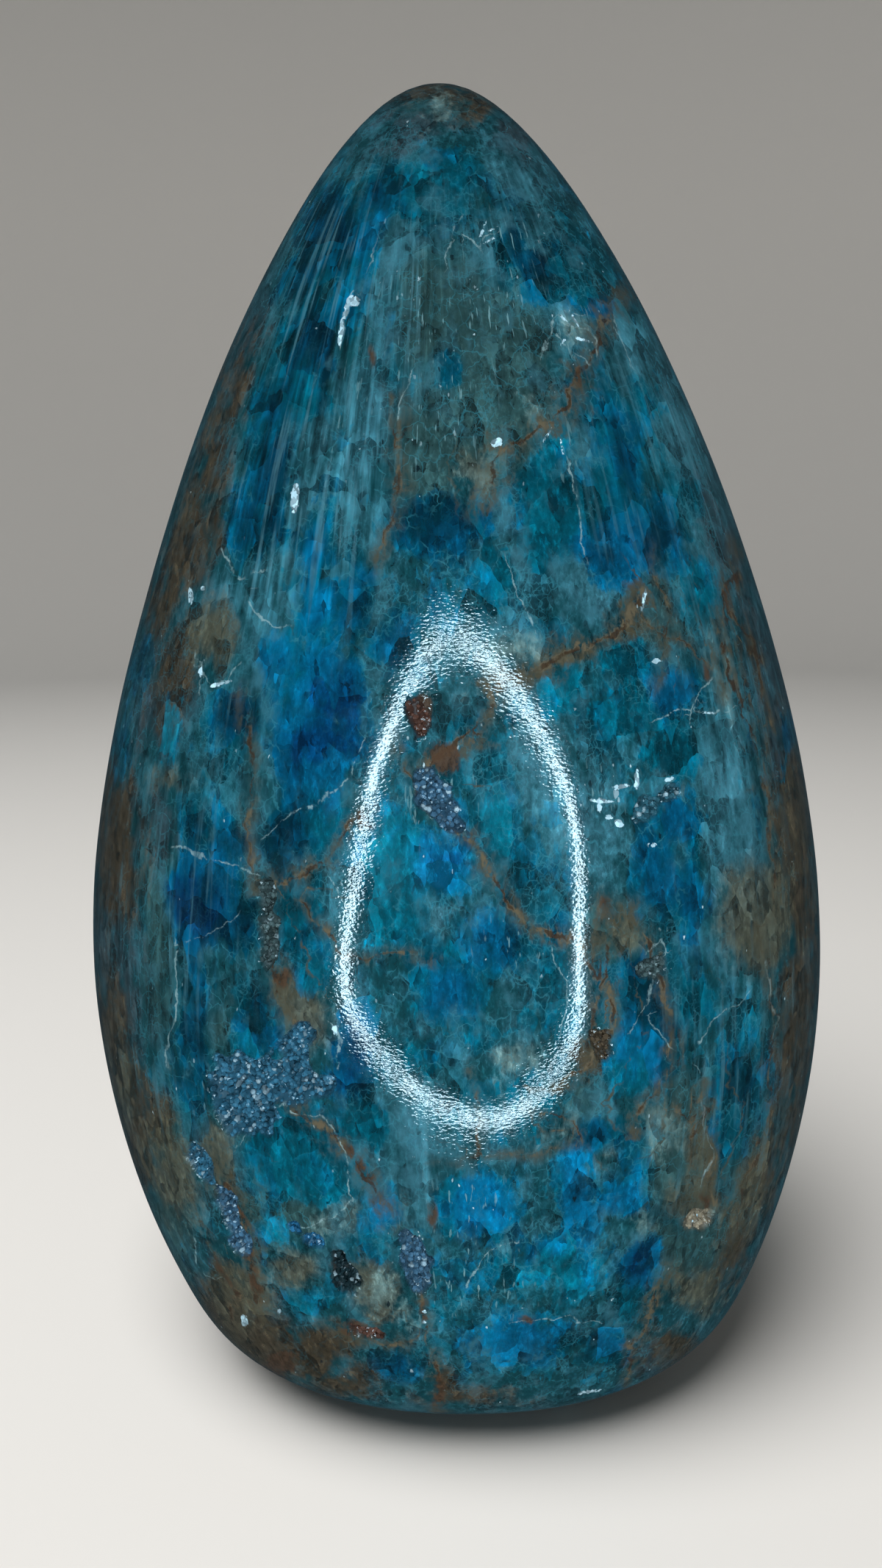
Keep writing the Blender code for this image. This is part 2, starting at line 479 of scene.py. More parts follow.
# Lines on the photographed face: half width in pixels, then the points that they pass through.
BROWN_LINES_PX = (
    (8, ((820, 445), (800, 480), (787, 510), (775, 545), (750, 575), (690, 608), (670, 645))),
    (9, ((680, 932), (706, 918), (740, 903), (800, 873), (853, 853), (873, 820))),
    (2, ((548, 590), (546, 640), (538, 680), (532, 716))),
    (6, ((994, 795), (985, 864), (994, 930), (1016, 986), (1033, 1030), (1037, 1069))),
    (3, ((1000, 830), (1030, 905), (1042, 965))),
    (5, ((585, 1040), (606, 1026), (645, 1012))),
    (5, ((640, 1147), (667, 1193), (700, 1233), (727, 1267), (773, 1277))),
    (4, ((360, 1192), (400, 1192), (430, 1180), (446, 1172), (480, 1130))),
    (3, ((420, 1230), (440, 1260), (460, 1290), (476, 1300), (540, 1302))),
    (5, ((878, 1285), (896, 1330), (913, 1377), (928, 1425), (920, 1448), (900, 1475), (877, 1510))),
    (5, ((822, 1300), (825, 1350), (834, 1392), (820, 1418), (806, 1442), (770, 1468))),
    (3, ((1042, 1310), (1052, 1350), (1055, 1400), (1052, 1440))),
    (4, ((960, 1503), (957, 1530), (970, 1557), (967, 1590), (963, 1630), (973, 1643))),
    (2, ((945, 1545), (942, 1570), (947, 1592))),
    (6, ((405, 1500), (432, 1530), (462, 1562), (490, 1590), (508, 1615))),
    (6, ((311, 1617), (333, 1672), (344, 1728), (347, 1761))),
    (5, ((300, 1711), (317, 1761), (319, 1783))),
    (4, ((597, 1865), (600, 1895), (592, 1922))),
    (4, ((892, 1775), (872, 1820), (857, 1850), (855, 1878))),
    (3, ((752, 1520), (780, 1526), (788, 1545))),
    (2, ((300, 520), (290, 570), (284, 625))),
    (2, ((252, 690), (240, 740), (232, 785))),
    (2, ((1030, 1030), (1050, 1125), (1056, 1200))),
    (5, ((368, 1200), (366, 1250), (376, 1318), (384, 1345), (400, 1400), (398, 1470))),
    (3, ((335, 1000), (344, 1060), (340, 1130), (346, 1190))),
    (3, ((1048, 1480), (1040, 1540), (1015, 1600), (1000, 1660))),
    (4, ((536, 593), (547, 671), (530, 721))),
    (4, ((1077, 1082), (1086, 1120), (1090, 1156))),
    (4, ((800, 1300), (812, 1340), (800, 1400))),
    (3, ((905, 1440), (925, 1500), (950, 1545))),
    (2, ((868, 832), (890, 860), (930, 870), (960, 900))),
    (2, ((900, 800), (915, 840), (905, 880))),
    (2, ((647, 1508), (650, 1540), (647, 1572))),
    (2, ((640, 1578), (677, 1574), (723, 1566), (774, 1558))),
    (3, ((574, 1766), (582, 1790), (580, 1806))),
    (3, ((523, 1824), (545, 1828), (560, 1822))),
    (4, ((600, 1032), (640, 1000), (667, 967))),
    (3, ((556, 1046), (583, 1093), (633, 1143))),
)
# Pale lines: thin white cracks, and a few painted glints where bright facets catch the light.
PALE_LINES_PX = (
    (2, ((490, 1015), (480, 1055), (460, 1075), (430, 1090), (400, 1107), (367, 1132))),
    (3, ((230, 1152), (265, 1160), (295, 1175), (340, 1185))),
    (2, ((240, 1285), (280, 1275), (315, 1245))),
    (2, ((900, 975), (920, 966), (955, 972), (988, 966))),
    (2, ((940, 975), (948, 950), (962, 930))),
    (2, ((705, 1800), (760, 1792), (812, 1796))),
    (2, ((265, 1695), (275, 1728), (298, 1740))),
    (2, ((265, 905), (285, 932), (310, 925), (322, 908))),
    (2, ((268, 900), (266, 935))),
    (2, ((305, 750), (325, 778), (350, 775))),
    (2, ((335, 812), (355, 842), (385, 850))),
    (3, ((452, 1400), (462, 1415), (458, 1440))),
    (2, ((455, 1195), (468, 1215), (482, 1232))),
    (2, ((775, 640), (790, 700), (800, 760))),
    (2, ((520, 300), (505, 350), (492, 390))),
    (2, ((478, 402), (470, 430), (464, 465))),
    (2, ((690, 760), (705, 800), (730, 850))),
    (2, ((860, 1390), (890, 1330), (905, 1300))),
    (2, ((880, 1290), (896, 1275), (905, 1300))),
    (2, ((235, 1285), (236, 1360), (233, 1440))),
    (2, ((325, 1560), (345, 1520), (390, 1500), (440, 1520), (468, 1570))),
    (2, ((640, 1745), (665, 1702), (700, 1690))),
    (2, ((742, 478), (752, 446), (768, 424), (790, 428))),
    (2, ((770, 440), (796, 452), (806, 474))),
    (2, ((752, 458), (772, 470), (790, 482))),
    (2, ((838, 440), (846, 462), (858, 486))),
    (2, ((640, 330), (652, 342), (662, 322), (676, 312))),
    (2, ((540, 560), (548, 534), (560, 510))),
    (2, ((628, 300), (618, 330), (604, 356))),
    (1.5, ((1013, 1350), (980, 1382), (947, 1417))),
    (1.5, ((880, 1380), (905, 1420), (940, 1450))),
    (2, ((752, 1300), (770, 1340), (760, 1400))),
    (2, ((960, 1505), (957, 1530), (966, 1552), (970, 1567), (960, 1598))),
    (2, ((1042, 1310), (1052, 1350), (1055, 1400))),
    (2, ((472, 1578), (474, 1633), (456, 1661), (422, 1667))),
)
# Painted glints: where the stone's sparkles and bright dashes, tiny faces catching the light, are thickest.
SPARKLE_PX = (
    (782, 448, 32, 30, 0),
    (822, 1078, 30, 26, 0),
    (598, 1088, 40, 50, 0),
    (690, 330, 50, 40, 0),
    (600, 520, 60, 120, 5),
    (640, 1650, 50, 40, 0),
    (700, 1290, 40, 30, 0),
    (565, 1725, 18, 55, 0),
    (330, 1490, 50, 40, 0),
    (770, 610, 14, 26, 0),
    (470, 590, 16, 60, 8),
    (650, 1742, 60, 46, 0),
    (560, 450, 40, 70, 10),
    (680, 420, 50, 60, 0),
    (648, 1722, 56, 44, 0),
)
# Painted highlights: glints of pale flakes and of the base's polished edge, where they catch the light, painted
# into the colour.
GLINT_PX = (
    (401, 678, 6, 19, 4),
    (676, 602, 9, 6, -35),
    (822, 1090, 16, 3, 4),
    (816, 1096, 3, 11, 0),
    (843, 1070, 11, 3, -6),
    (842, 1120, 7, 5, 20),
    (866, 1061, 3, 13, 0),
    (946, 1655, 10, 6, 30),
    (948, 1667, 3, 4, 0),
    (333, 1797, 5, 8, -20),
    (380, 1783, 3, 4, 0),
    (803, 1893, 14, 2.5, -8),
    (566, 930, 6, 2, -50),
    (259, 811, 2.5, 10, 0),
    (275, 800, 3, 3, 0),
    (876, 816, 2.5, 15, 10),
    (894, 899, 7, 3, 0),
    (910, 1060, 7, 3, -20),
    (272, 915, 3, 9, 0),
    (300, 930, 12, 2.5, -15),
    (887, 1150, 6, 3, 0),
    (455, 1402, 3, 8, 0),
    (965, 970, 6, 2, 0),
    (481, 410, 9, 8, 10),
    (470, 424, 3, 8, 10),
    (465, 446, 3, 19, 8),
    (578, 1783, 3, 3, 0),
    (578, 1799, 2.5, 2.5, 0),
    (838, 1078, 3, 8, 0),
    (829, 1112, 5, 3, 0),
    (655, 318, 1.6, 11, 20),
    (664, 328, 9, 1.6, -30),
    (672, 312, 6, 1.6, -20),
    (768, 434, 9, 1.5, 40),
    (784, 438, 1.5, 13, -30),
    (772, 458, 1.5, 9, 40),
    (793, 462, 9, 1.5, 15),
    (745, 592, 1.5, 9, 30),
    (764, 606, 1.2, 9, -10),
)
RING_PX = (
    (600, 820),
    (580, 880),
    (550, 930),
    (525, 980),
    (512, 1035),
    (495, 1100),
    (480, 1200),
    (472, 1280),
    (466, 1320),
    (475, 1370),
    (500, 1430),
    (555, 1475),
    (610, 1520),
    (645, 1540),
    (690, 1530),
    (715, 1512),
    (745, 1480),
    (775, 1440),
    (783, 1390),
    (783, 1300),
    (783, 1200),
    (782, 1125),
    (770, 1065),
    (750, 1015),
    (725, 975),
    (690, 930),
    (650, 885),
)
FIBROUS_PX = (
    (440, 430, 90, 200, 14),
    (400, 690, 110, 190, 10),
    (480, 620, 70, 160, 10),
    (560, 420, 60, 130, 8),
    (690, 330, 50, 90, 0),
    (345, 1010, 30, 170, 2),
    (225, 1240, 60, 240, 0),
    (950, 640, 40, 130, -22),
    (850, 600, 50, 130, -12),
    (1010, 960, 50, 170, -8),
    (1000, 1480, 50, 170, 14),
    (935, 1400, 40, 130, 0),
    (570, 1590, 30, 70, 0),
)
PATCH_POWER = 2.2
WARPS = ((5 * MM, 11), (1.8 * MM, 6))
PATCH_SOFT_PX = 36
ZONE_SOFT_PX = 60
GLINT_SOFT_PX = 6
FAR_PX = 900

# How much clear blue there is, how blue rather than green it is, and how light, by kind of patch.
PATCH_KINDS = (
    (FAINT_TEAL_PX, 0.62, 0.38, 0.5),
    (TEAL_PX, 0.86, 0.4, 0.4),
    (LIGHT_TEAL_PX, 0.8, 0.42, 0.85),
    (DEEP_PX, 0.97, 0.58, -0.17),
    (AZURE_PX, 0.95, 0.72, 0.2),
    (BRIGHT_AZURE_PX, 0.95, 0.72, 0.7),
    (COBALT_PX, 1.0, 0.95, 0.2),
)
PLAIN_BLUE, PLAIN_HUE, PLAIN_LIGHT = 0.48, 0.44, 0.42
ZONE_LOSSES = {"milk": 0.35, "taupe": 0.65, "tan": 0.5, "green": 0.4, "slate": 0.6, "cream": 0.5}

# The side and back, which the photograph doesn't show: how many of each marking are drawn.
BACK_COUNTS = {
    "cobalt": 9,
    "azure": 16,
    "bright": 9,
    "teal": 22,
    "light": 8,
    "deep": 24,
    "milk": 22,
    "taupe": 12,
    "tan": 12,
    "green": 6,
    "rust": 12,
    "glint": 12,
    "fibrous": 12,
}
BACK_LINES = 26
BACK_PALE_LINES = 16
FIBRE_GIRTH = 32 * MM
FIBRES_FROM = 5 * MM
FIBRES_FULLY = 14 * MM
SEEN_FROM = -0.06
SEEN_FULLY = 0.06


def spline(knots, rows, slopes_at_end, at):
    """A cubic through the rows at the knots, straight at the start and with these slopes at the end."""
    steps = np.diff(knots)
    rises = np.diff(rows, axis=0) / steps[:, None]
    matrix = np.zeros((len(knots), len(knots)))
    wanted = np.zeros_like(rows)
    matrix[0, 0] = 1
    for i in range(1, len(knots) - 1):
        matrix[i, i - 1 : i + 2] = steps[i - 1], 2 * (steps[i - 1] + steps[i]), steps[i]
        wanted[i] = 6 * (rises[i] - rises[i - 1])
    matrix[-1, -2:] = steps[-1], 2 * steps[-1]
    wanted[-1] = 6 * (slopes_at_end - rises[-1])
    bend = np.linalg.solve(matrix, wanted)
    i = np.clip(np.searchsorted(knots, at, side="right") - 1, 0, len(steps) - 1)
    step = steps[i][:, None]
    after, before = (at - knots[i])[:, None], (knots[i + 1] - at)[:, None]
    curved = (bend[i] * before**3 + bend[i + 1] * after**3) / (6 * step)
    straight_start = (rows[i] / step - bend[i] * step / 6) * before
    straight_end = (rows[i + 1] / step - bend[i + 1] * step / 6) * after
    return curved + straight_start + straight_end


def sections(stations):
    """The stone's sections at stations from 0, the base, to 1, the tip, centred over the origin."""
    rows = np.array(SECTIONS_MM, float) * MM
    knots = np.append(0, np.cumsum(np.hypot(*np.diff(rows[:, :2], axis=0).T)))
    tip_slopes = np.array([0.0, -1.0, 0.0, 0.0])
    everywhere = np.linspace(0, knots[-1], SAMPLES)
    both = spline(knots, rows, tip_slopes, np.append(everywhere, stations * knots[-1]))
    for column, ratio in ((MIDDLE_X, 1), (MIDDLE_Y, DEPTH_RATIO)):
        reach = both[:SAMPLES, HALF_WIDTH] * ratio
        sides = both[:SAMPLES, column] + reach, both[:SAMPLES, column] - reach
        both[:, column] -= (sides[0].max() + sides[1].min()) / 2
    return both[SAMPLES:]


def stone_points(outward, stations):
    """Points of the smooth stone. A station below 0 is on the flat base, with -1 at its middle."""
    rows = sections(np.clip(stations, 0, 1))
    across, deep = np.abs(outward[:, 0]), np.abs(outward[:, 1]) / DEPTH_RATIO
    reach = np.zeros(len(outward))
    real = np.maximum(across, deep) > 0
    reach[real] = (across[real] ** SECTION_POWER + deep[real] ** SECTION_POWER) ** (-1 / SECTION_POWER)
    reach *= np.maximum(rows[:, HALF_WIDTH], 0) * np.clip(1 + stations, 0, 1)
    middle = rows[:, [MIDDLE_X, MIDDLE_Y]]
    return np.column_stack([middle + outward * reach[:, None], rows[:, HEIGHT]])


def outward_at(azimuths):
    return np.column_stack([np.sin(azimuths), -np.cos(azimuths)])


def coarse_grid():
    """Directions, stations and triangles of a closed grid, from the base's middle to the tip."""
    base = np.array([-0.5, 0])
    side = np.arange(1, GRID_RINGS) / GRID_RINGS
    levels = np.concatenate([base, side])
    turns = np.arange(GRID_AROUND) * 2 * math.pi / GRID_AROUND
    outward = np.tile(outward_at(turns), (len(levels), 1))
    stations = np.repeat(levels, GRID_AROUND)
    outward = np.vstack([outward, np.zeros((2, 2))])
    stations = np.append(stations, [-1, 1])
    bottom, tip = len(stations) - 2, len(stations) - 1
    here = np.arange(GRID_AROUND)
    after = (here + 1) % GRID_AROUND
    faces = [np.column_stack([np.full(GRID_AROUND, bottom), after, here])]
    for ring in range(len(levels) - 1):
        low, high = ring * GRID_AROUND, (ring + 1) * GRID_AROUND
        faces.append(np.column_stack([low + here, low + after, high + after]))
        faces.append(np.column_stack([low + here, high + after, high + here]))
    last = (len(levels) - 1) * GRID_AROUND
    faces.append(np.column_stack([last + here, last + after, np.full(GRID_AROUND, tip)]))
    return outward, stations, np.vstack(faces)


def pocket_frames():
    """Each pocket's middle and the directions around, up along and out of the stone there."""
    table = np.array(POCKETS_MM, float)
    grid = np.linspace(0, 1, SAMPLES)
    heights = sections(grid)[:, HEIGHT]
    stations = np.interp(table[:, 1] * MM, heights, grid)
    azimuths = np.radians(table[:, 0])
    nudge = 1 / SAMPLES
    middle = stone_points(outward_at(azimuths), stations)
    around = stone_points(outward_at(azimuths + nudge), stations) - middle
    upward = stone_points(outward_at(azimuths), stations + nudge) - middle
    around /= np.linalg.norm(around, axis=1)[:, None]
    out = np.cross(around, upward)
    out /= np.linalg.norm(out, axis=1)[:, None]
    return middle, around, np.cross(out, around), out


def pocket_inside(points, wander=None):
    """How far inside each pocket's outline the points are: one column a pocket, less than 0 outside."""
    inside = np.full((len(points), len(POCKETS_MM)), -1.0)
    for i, (middle, around, up, _) in enumerate(zip(*pocket_frames())):
        _, _, half_width, half_height, _, lean = POCKETS_MM[i]
        half = np.array([half_width, half_height]) * MM
        turn = math.radians(lean)
        across = math.cos(turn) * around - math.sin(turn) * up
        along = math.sin(turn) * around + math.cos(turn) * up
        near = np.flatnonzero(np.linalg.norm(points - middle, axis=1) < 3 * half.max())
        offset = points[near] - middle
        flat = np.column_stack([offset @ across, offset @ along])
        near_one = np.linalg.norm(flat / half, axis=1)
        slope = np.linalg.norm(flat / half**2, axis=1)
        inside[near, i] = near_one * (1 - near_one) / np.maximum(slope, 1e-9)
        inside[near[near_one < 0.3], i] = half.min() * 0.7
        if wander is not None:
            inside[near, i] += wander[near]
    return inside


def edge_wanted(middles):
    """How long the mesh's edges may be here: short in pockets and on small marks, longer elsewhere."""
    facing = np.clip(-middles[:, 1] / (30 * MM), -1, 1) / 2 + 0.5
    plain = EDGE_BACK + (EDGE_FRONT - EDGE_BACK) * facing
    outside = np.maximum(-pocket_inside(middles).max(axis=1) - RIM_WANDER, 0)
    wanted = np.minimum(plain, EDGE_POCKET + EDGE_GROWTH * outside)
    ahead = np.flatnonzero(middles[:, 1] < MARKS_BEFORE)
    places = photo_places(middles[ahead])
    off_marks = np.maximum(-inside_patches(places, RUST_PX + GLINT_PX) / PX_PER_MM - 0.3, 0) * MM
    off_lines = np.maximum(line_distances(places, BROWN_LINES_PX + PALE_LINES_PX)[1] / PX_PER_MM - 0.8, 0) * MM
    marks = np.minimum(EDGE_MARK + EDGE_GROWTH * off_marks, EDGE_LINE + EDGE_GROWTH * off_lines)
    wanted[ahead] = np.minimum(wanted[ahead], marks)
    return wanted


def split_long_edges(outward, stations, faces):
    """One pass that halves every edge that is too long, and cuts the triangles beside it to match."""
    points = stone_points(outward, stations)
    corners = np.concatenate([faces[:, [0, 1]], faces[:, [1, 2]], faces[:, [2, 0]]])
    keys = corners.min(axis=1) * len(points) + corners.max(axis=1)
    keys, which = np.unique(keys, return_inverse=True)
    start, end = keys // len(points), keys % len(points)
    length = np.linalg.norm(points[start] - points[end], axis=1)
    long = length > edge_wanted((points[start] + points[end]) / 2)
    new = np.full(len(keys), -1)
    new[long] = len(points) + np.arange(long.sum())
    summed = outward[start[long]] + outward[end[long]]
    size = np.linalg.norm(summed, axis=1)[:, None]
    outward = np.vstack([outward, summed / np.maximum(size, 1e-12)])
    stations = np.append(stations, (stations[start[long]] + stations[end[long]]) / 2)
    middles = new[which.reshape(-1)].reshape(3, -1).T
    return outward, stations, cut_faces(faces, middles), long.any()


def cut_faces(faces, middles):
    """Triangles cut through the middles of their split edges; -1 marks an edge that wasn't split."""
    count = (middles >= 0).sum(axis=1)
    made = [faces[count == 0]]
    for turn in range(3):
        corner = np.roll(faces, -turn, axis=1)
        middle = np.roll(middles, -turn, axis=1)
        one = (count == 1) & (middle[:, 0] >= 0)
        (a, b, c), m = corner[one].T, middle[one, 0]
        made += [np.column_stack([a, m, c]), np.column_stack([m, b, c])]
        two = (count == 2) & (middle[:, 2] < 0)
        (a, b, c), (m, n, _) = corner[two].T, middle[two].T
        made += [np.column_stack([m, b, n]), np.column_stack([a, m, n]), np.column_stack([a, n, c])]
    (a, b, c), (m, n, o) = faces[count == 3].T, middles[count == 3].T
    made += [np.column_stack(t) for t in ((a, m, o), (m, b, n), (o, n, c), (m, n, o))]
    return np.vstack(made)


def vertex_normals(points, faces):
    a, b, c = (points[faces[:, i]] for i in range(3))
    flat = np.cross(b - a, c - a)
    normals = np.zeros_like(points)
    for i in range(3):
        for axis in range(3):
            normals[:, axis] += np.bincount(faces[:, i], flat[:, axis], len(points))
    return normals / np.maximum(np.linalg.norm(normals, axis=1)[:, None], 1e-30)


def noise_at(points, size):
    """Smooth noise from about -1 to 1 with features of this size."""
    return np.array([noise.noise(Vector(p)) for p in points / size])


def vector_noise_at(points, size):
    """Two smooth noises from about -1 to 1 for every point, with features of this size."""
    return np.array([noise.noise_vector(Vector(p))[:2] for p in points / size])


def facets_at(points):
    """A broken floor of small tilted facets, each leaning its own way, in parts of a crystal's size."""
    heights = np.empty(len(points))
    for i, point in enumerate(points / CRYSTAL_SIZE):
        (near, _, _, _), (seed, _, _, _) = noise.voronoi(point)
        lean = noise.cell_vector(seed * 7.3) - Vector((0.5, 0.5, 0.5))
        heights[i] = CRYSTAL_TILT * (Vector(point) - seed).dot(lean) * 2 - CRYSTAL_MOUND * near
    return heights


def pocket_depths(points):
    """How deep each point lies in its pocket, ragged at the rim and faceted below, and which that is."""
    depth = np.zeros(len(points))
    close = np.flatnonzero(pocket_inside(points).max(axis=1) > -1.5 * MM)
    wander = np.zeros(len(points))
    wander[close] = RIM_WANDER * noise_at(points[close], RIM_WANDER_SIZE)
    wander[close] += RIM_CHIPS * noise_at(points[close], RIM_CHIP_SIZE)
    inside = pocket_inside(points, wander)
    for i, pocket in enumerate(POCKETS_MM):
        deepest = pocket[4] * POCKET_FLOOR * MM
        bowl = deepest * (1 - np.exp(-np.maximum(inside[:, i], 0) * WALL_SLOPE / deepest))
        depth = np.maximum(depth, bowl)
    sunk = np.flatnonzero(depth > 0)
    facets = facets_at(points[sunk]) * CRYSTAL_SIZE * 0.5
    depth[sunk] -= np.clip(facets, -1, 1) * np.clip(depth[sunk] / (0.6 * MM), 0, 1)
    return np.maximum(depth, 0), inside.argmax(axis=1)


def photo_axes():
    """The camera's right, up and forward directions."""
    forward = Vector((0, math.cos(CAMERA_PITCH), -math.sin(CAMERA_PITCH)))
    level = Vector((1, 0, 0))
    up = level.cross(forward)
    right = math.cos(CAMERA_ROLL) * level + math.sin(CAMERA_ROLL) * up
    return right, right.cross(forward), forward


def photo_places(points):
    """Where points fall in the photograph, in its pixels."""
    right, up, forward = (np.array(axis) for axis in photo_axes())
    offset = points - np.array(CAMERA_AT)
    scale = FOCAL_PX / (offset @ forward)
    return np.column_stack([
        PHOTO_WIDTH_PX / 2 + scale * (offset @ right),
        PHOTO_HEIGHT_PX / 2 - scale * (offset @ up),
    ])


def smooth_step(value, low, high):
    t = np.clip((value - low) / (high - low), 0, 1)
    return t * t * (3 - 2 * t)


def inside_patches(places, patches):
    """How far inside the nearest of these patches each place is, in pixels, less than 0 outside."""
    inside = np.full(len(places), -float(FAR_PX))
    for x, y, half_width, half_height, lean in patches:
        turn = math.radians(lean)
        offset = places - (x, y)
        across = np.abs(offset @ (math.cos(turn), math.sin(turn))) / half_width
        along = np.abs(offset @ (math.sin(turn), -math.cos(turn))) / half_height
        reach = (across**PATCH_POWER + along**PATCH_POWER) ** (1 / PATCH_POWER)
        inside = np.maximum(inside, (1 - reach) * min(half_width, half_height))
    return inside


def patch_share(places, patches, soft=PATCH_SOFT_PX):
    return np.clip(0.5 + inside_patches(places, patches) / soft, 0, 1)


def line_distances(places, lines):
    """Signed distance across the nearest line, plain distance to it and its half width, in pixels."""
    side = np.full(len(places), float(FAR_PX))
    near = np.full(len(places), float(FAR_PX))
    width = np.ones(len(places))
    for half_width, points in lines:
        points = np.array(points, float)
        for start, end in zip(points, points[1:]):
            along = (end - start) / np.linalg.norm(end - start)
            offset = places - start
            ahead = np.clip(offset @ along, 0, np.linalg.norm(end - start))
            distance = np.linalg.norm(offset - ahead[:, None] * along, axis=1)
            closer = distance < near
            across = offset @ (along[1], -along[0])
            near[closer], side[closer], width[closer] = distance[closer], across[closer], half_width
    return side, near, width


def random_patches(random, count, size_mm, stretch):
    """Patches on the back's chart: across from -70 to 70 mm, up from 0 to the stone's height."""
    patches = []
    for _ in range(count):
        half = random.uniform(*size_mm)
        patches.append((
            random.uniform(-70, 70) * PX_PER_MM,
            -random.uniform(2, 148) * PX_PER_MM,
            half * PX_PER_MM,
            half * random.uniform(*stretch) * PX_PER_MM,
            random.uniform(-8, 8),
        ))
    return patches


def random_lines(random, count):
    lines = []
    for _ in range(count):
        point = np.array([random.uniform(-70, 70), -random.uniform(4, 140)])
        heading = random.uniform(0, 2 * math.pi)
        points = [point]
        for _ in range(random.integers(3, 8)):
            heading += random.uniform(-0.6, 0.6)
            point = point + random.uniform(2.5, 6) * np.array([math.cos(heading), math.sin(heading)])
            points.append(point)
        lines.append((random.uniform(2, 4.5), np.array(points) * PX_PER_MM))
    return lines


def front_layout():
    return {
        "kinds": PATCH_KINDS,
        "milk": MILK_PX,
        "taupe": TAUPE_PX,
        "tan": TAN_PX,
        "green": GREY_GREEN_PX,
        "slate": SLATE_PX,
        "cream": CREAM_PX,
        "rust": RUST_PX,
        "sparkle": SPARKLE_PX,
        "glint": GLINT_PX,
        "fibrous": FIBROUS_PX,
        "brown_lines": BROWN_LINES_PX,
        "pale_lines": PALE_LINES_PX,
    }


def back_layout():
    random = np.random.default_rng(SEED)
    count = BACK_COUNTS
    drawn = {
        "cobalt": random_patches(random, count["cobalt"], (1.5, 3.5), (1, 3.2)),
        "azure": random_patches(random, count["azure"], (1.5, 4), (0.8, 2.2)),
        "teal": random_patches(random, count["teal"], (1.5, 4), (0.8, 2.2)),
        "light": random_patches(random, count["light"], (2, 4), (0.8, 2.2)),
        "deep": random_patches(random, count["deep"], (1.5, 3.5), (1, 2.5)),
        "bright": random_patches(random, count["bright"], (1.5, 3.5), (0.8, 2.2)),
    }
    names = ("teal", "light", "deep", "azure", "bright", "cobalt")
    return {
        "kinds": [(drawn[name], *kind[1:]) for name, kind in zip(names, PATCH_KINDS[1:])],
        "milk": random_patches(random, count["milk"], (0.8, 2.5), (1.5, 6)),
        "taupe": random_patches(random, count["taupe"], (1.5, 4), (1.5, 3)),
        "tan": random_patches(random, count["tan"], (1.2, 3), (1, 3)),
        "green": random_patches(random, count["green"], (3, 7), (1, 2)),
        "slate": random_patches(random, count["green"], (2, 5), (1, 3)),
        "cream": random_patches(random, count["green"], (0.8, 2), (1, 2.5)),
        "rust": random_patches(random, count["rust"], (0.4, 1.1), (1, 2.2)),
        "sparkle": random_patches(random, count["green"], (2, 4), (1, 2)),
        "glint": random_patches(random, count["glint"], (0.2, 0.5), (1, 4)),
        "fibrous": random_patches(random, count["fibrous"], (3, 6), (2, 3.5)),
        "brown_lines": random_lines(random, BACK_LINES),
        "pale_lines": random_lines(random, BACK_PALE_LINES),
    }


def markings(places, layout):
    """Every marking's strength at these places, by the name that the shader reads it by."""
    blue = np.full(len(places), PLAIN_BLUE)
    hue = np.full(len(places), PLAIN_HUE)
    light = np.full(len(places), PLAIN_LIGHT)
    zones = {name: patch_share(places, layout[name], ZONE_SOFT_PX) for name in ZONE_LOSSES}
    blue -= np.max([loss * zones[name] for name, loss in ZONE_LOSSES.items()], axis=0)
    for patches, kind_blue, kind_hue, kind_light in layout["kinds"]:
        share = patch_share(places, patches)
        blue = np.maximum(blue, blue + (kind_blue - blue) * share)
        hue += (kind_hue - hue) * share
        light += (kind_light - light) * share
    brown = line_distances(places, layout["brown_lines"])
    pale = line_distances(places, layout["pale_lines"])
    return {
        "blue": blue,
        "hue": hue,
        "light": light,
        **zones,
        "fibrous": patch_share(places, layout["fibrous"], ZONE_SOFT_PX * 1.5),
        "rust": patch_share(places, layout["rust"], PATCH_SOFT_PX / 2),
        "sparkle": patch_share(places, layout["sparkle"], ZONE_SOFT_PX),
        "glint": patch_share(places, layout["glint"], GLINT_SOFT_PX),
        "brown_side": brown[0] / PX_PER_MM,
        "brown_near": brown[1] / PX_PER_MM,
        "brown_width": brown[2] / PX_PER_MM,
        "pale_side": pale[0] / PX_PER_MM,
        "pale_near": pale[1] / PX_PER_MM,
        "pale_width": pale[2] / PX_PER_MM,
    }


def all_markings(points, normals):
    """The photographed face's markings where the camera sees it, and the drawn ones elsewhere."""
    sight = np.array(CAMERA_AT) - points
    facing = (sight * normals).sum(axis=1) / np.linalg.norm(sight, axis=1)
    seen = smooth_step(facing, SEEN_FROM, SEEN_FULLY)
    warp = sum(amount * vector_noise_at(points, size) for size, amount in WARPS)
    places = photo_places(points)
    front = markings(places + warp, front_layout())
    front["glint"] = patch_share(places, GLINT_PX, GLINT_SOFT_PX)
    angle = np.arctan2(-points[:, 0], points[:, 1])
    reach = 0.04 / MM
    chart = np.column_stack([angle * reach, -points[:, 2] / MM]) * PX_PER_MM
    back = markings(chart + warp * 2, back_layout())
    both = {}
    for name, values in front.items():
        if "side" in name or "near" in name or "width" in name:
            both[name] = np.where(seen > 0.5, values, back[name])
        else:
            both[name] = values * seen + back[name] * (1 - seen)
    return both


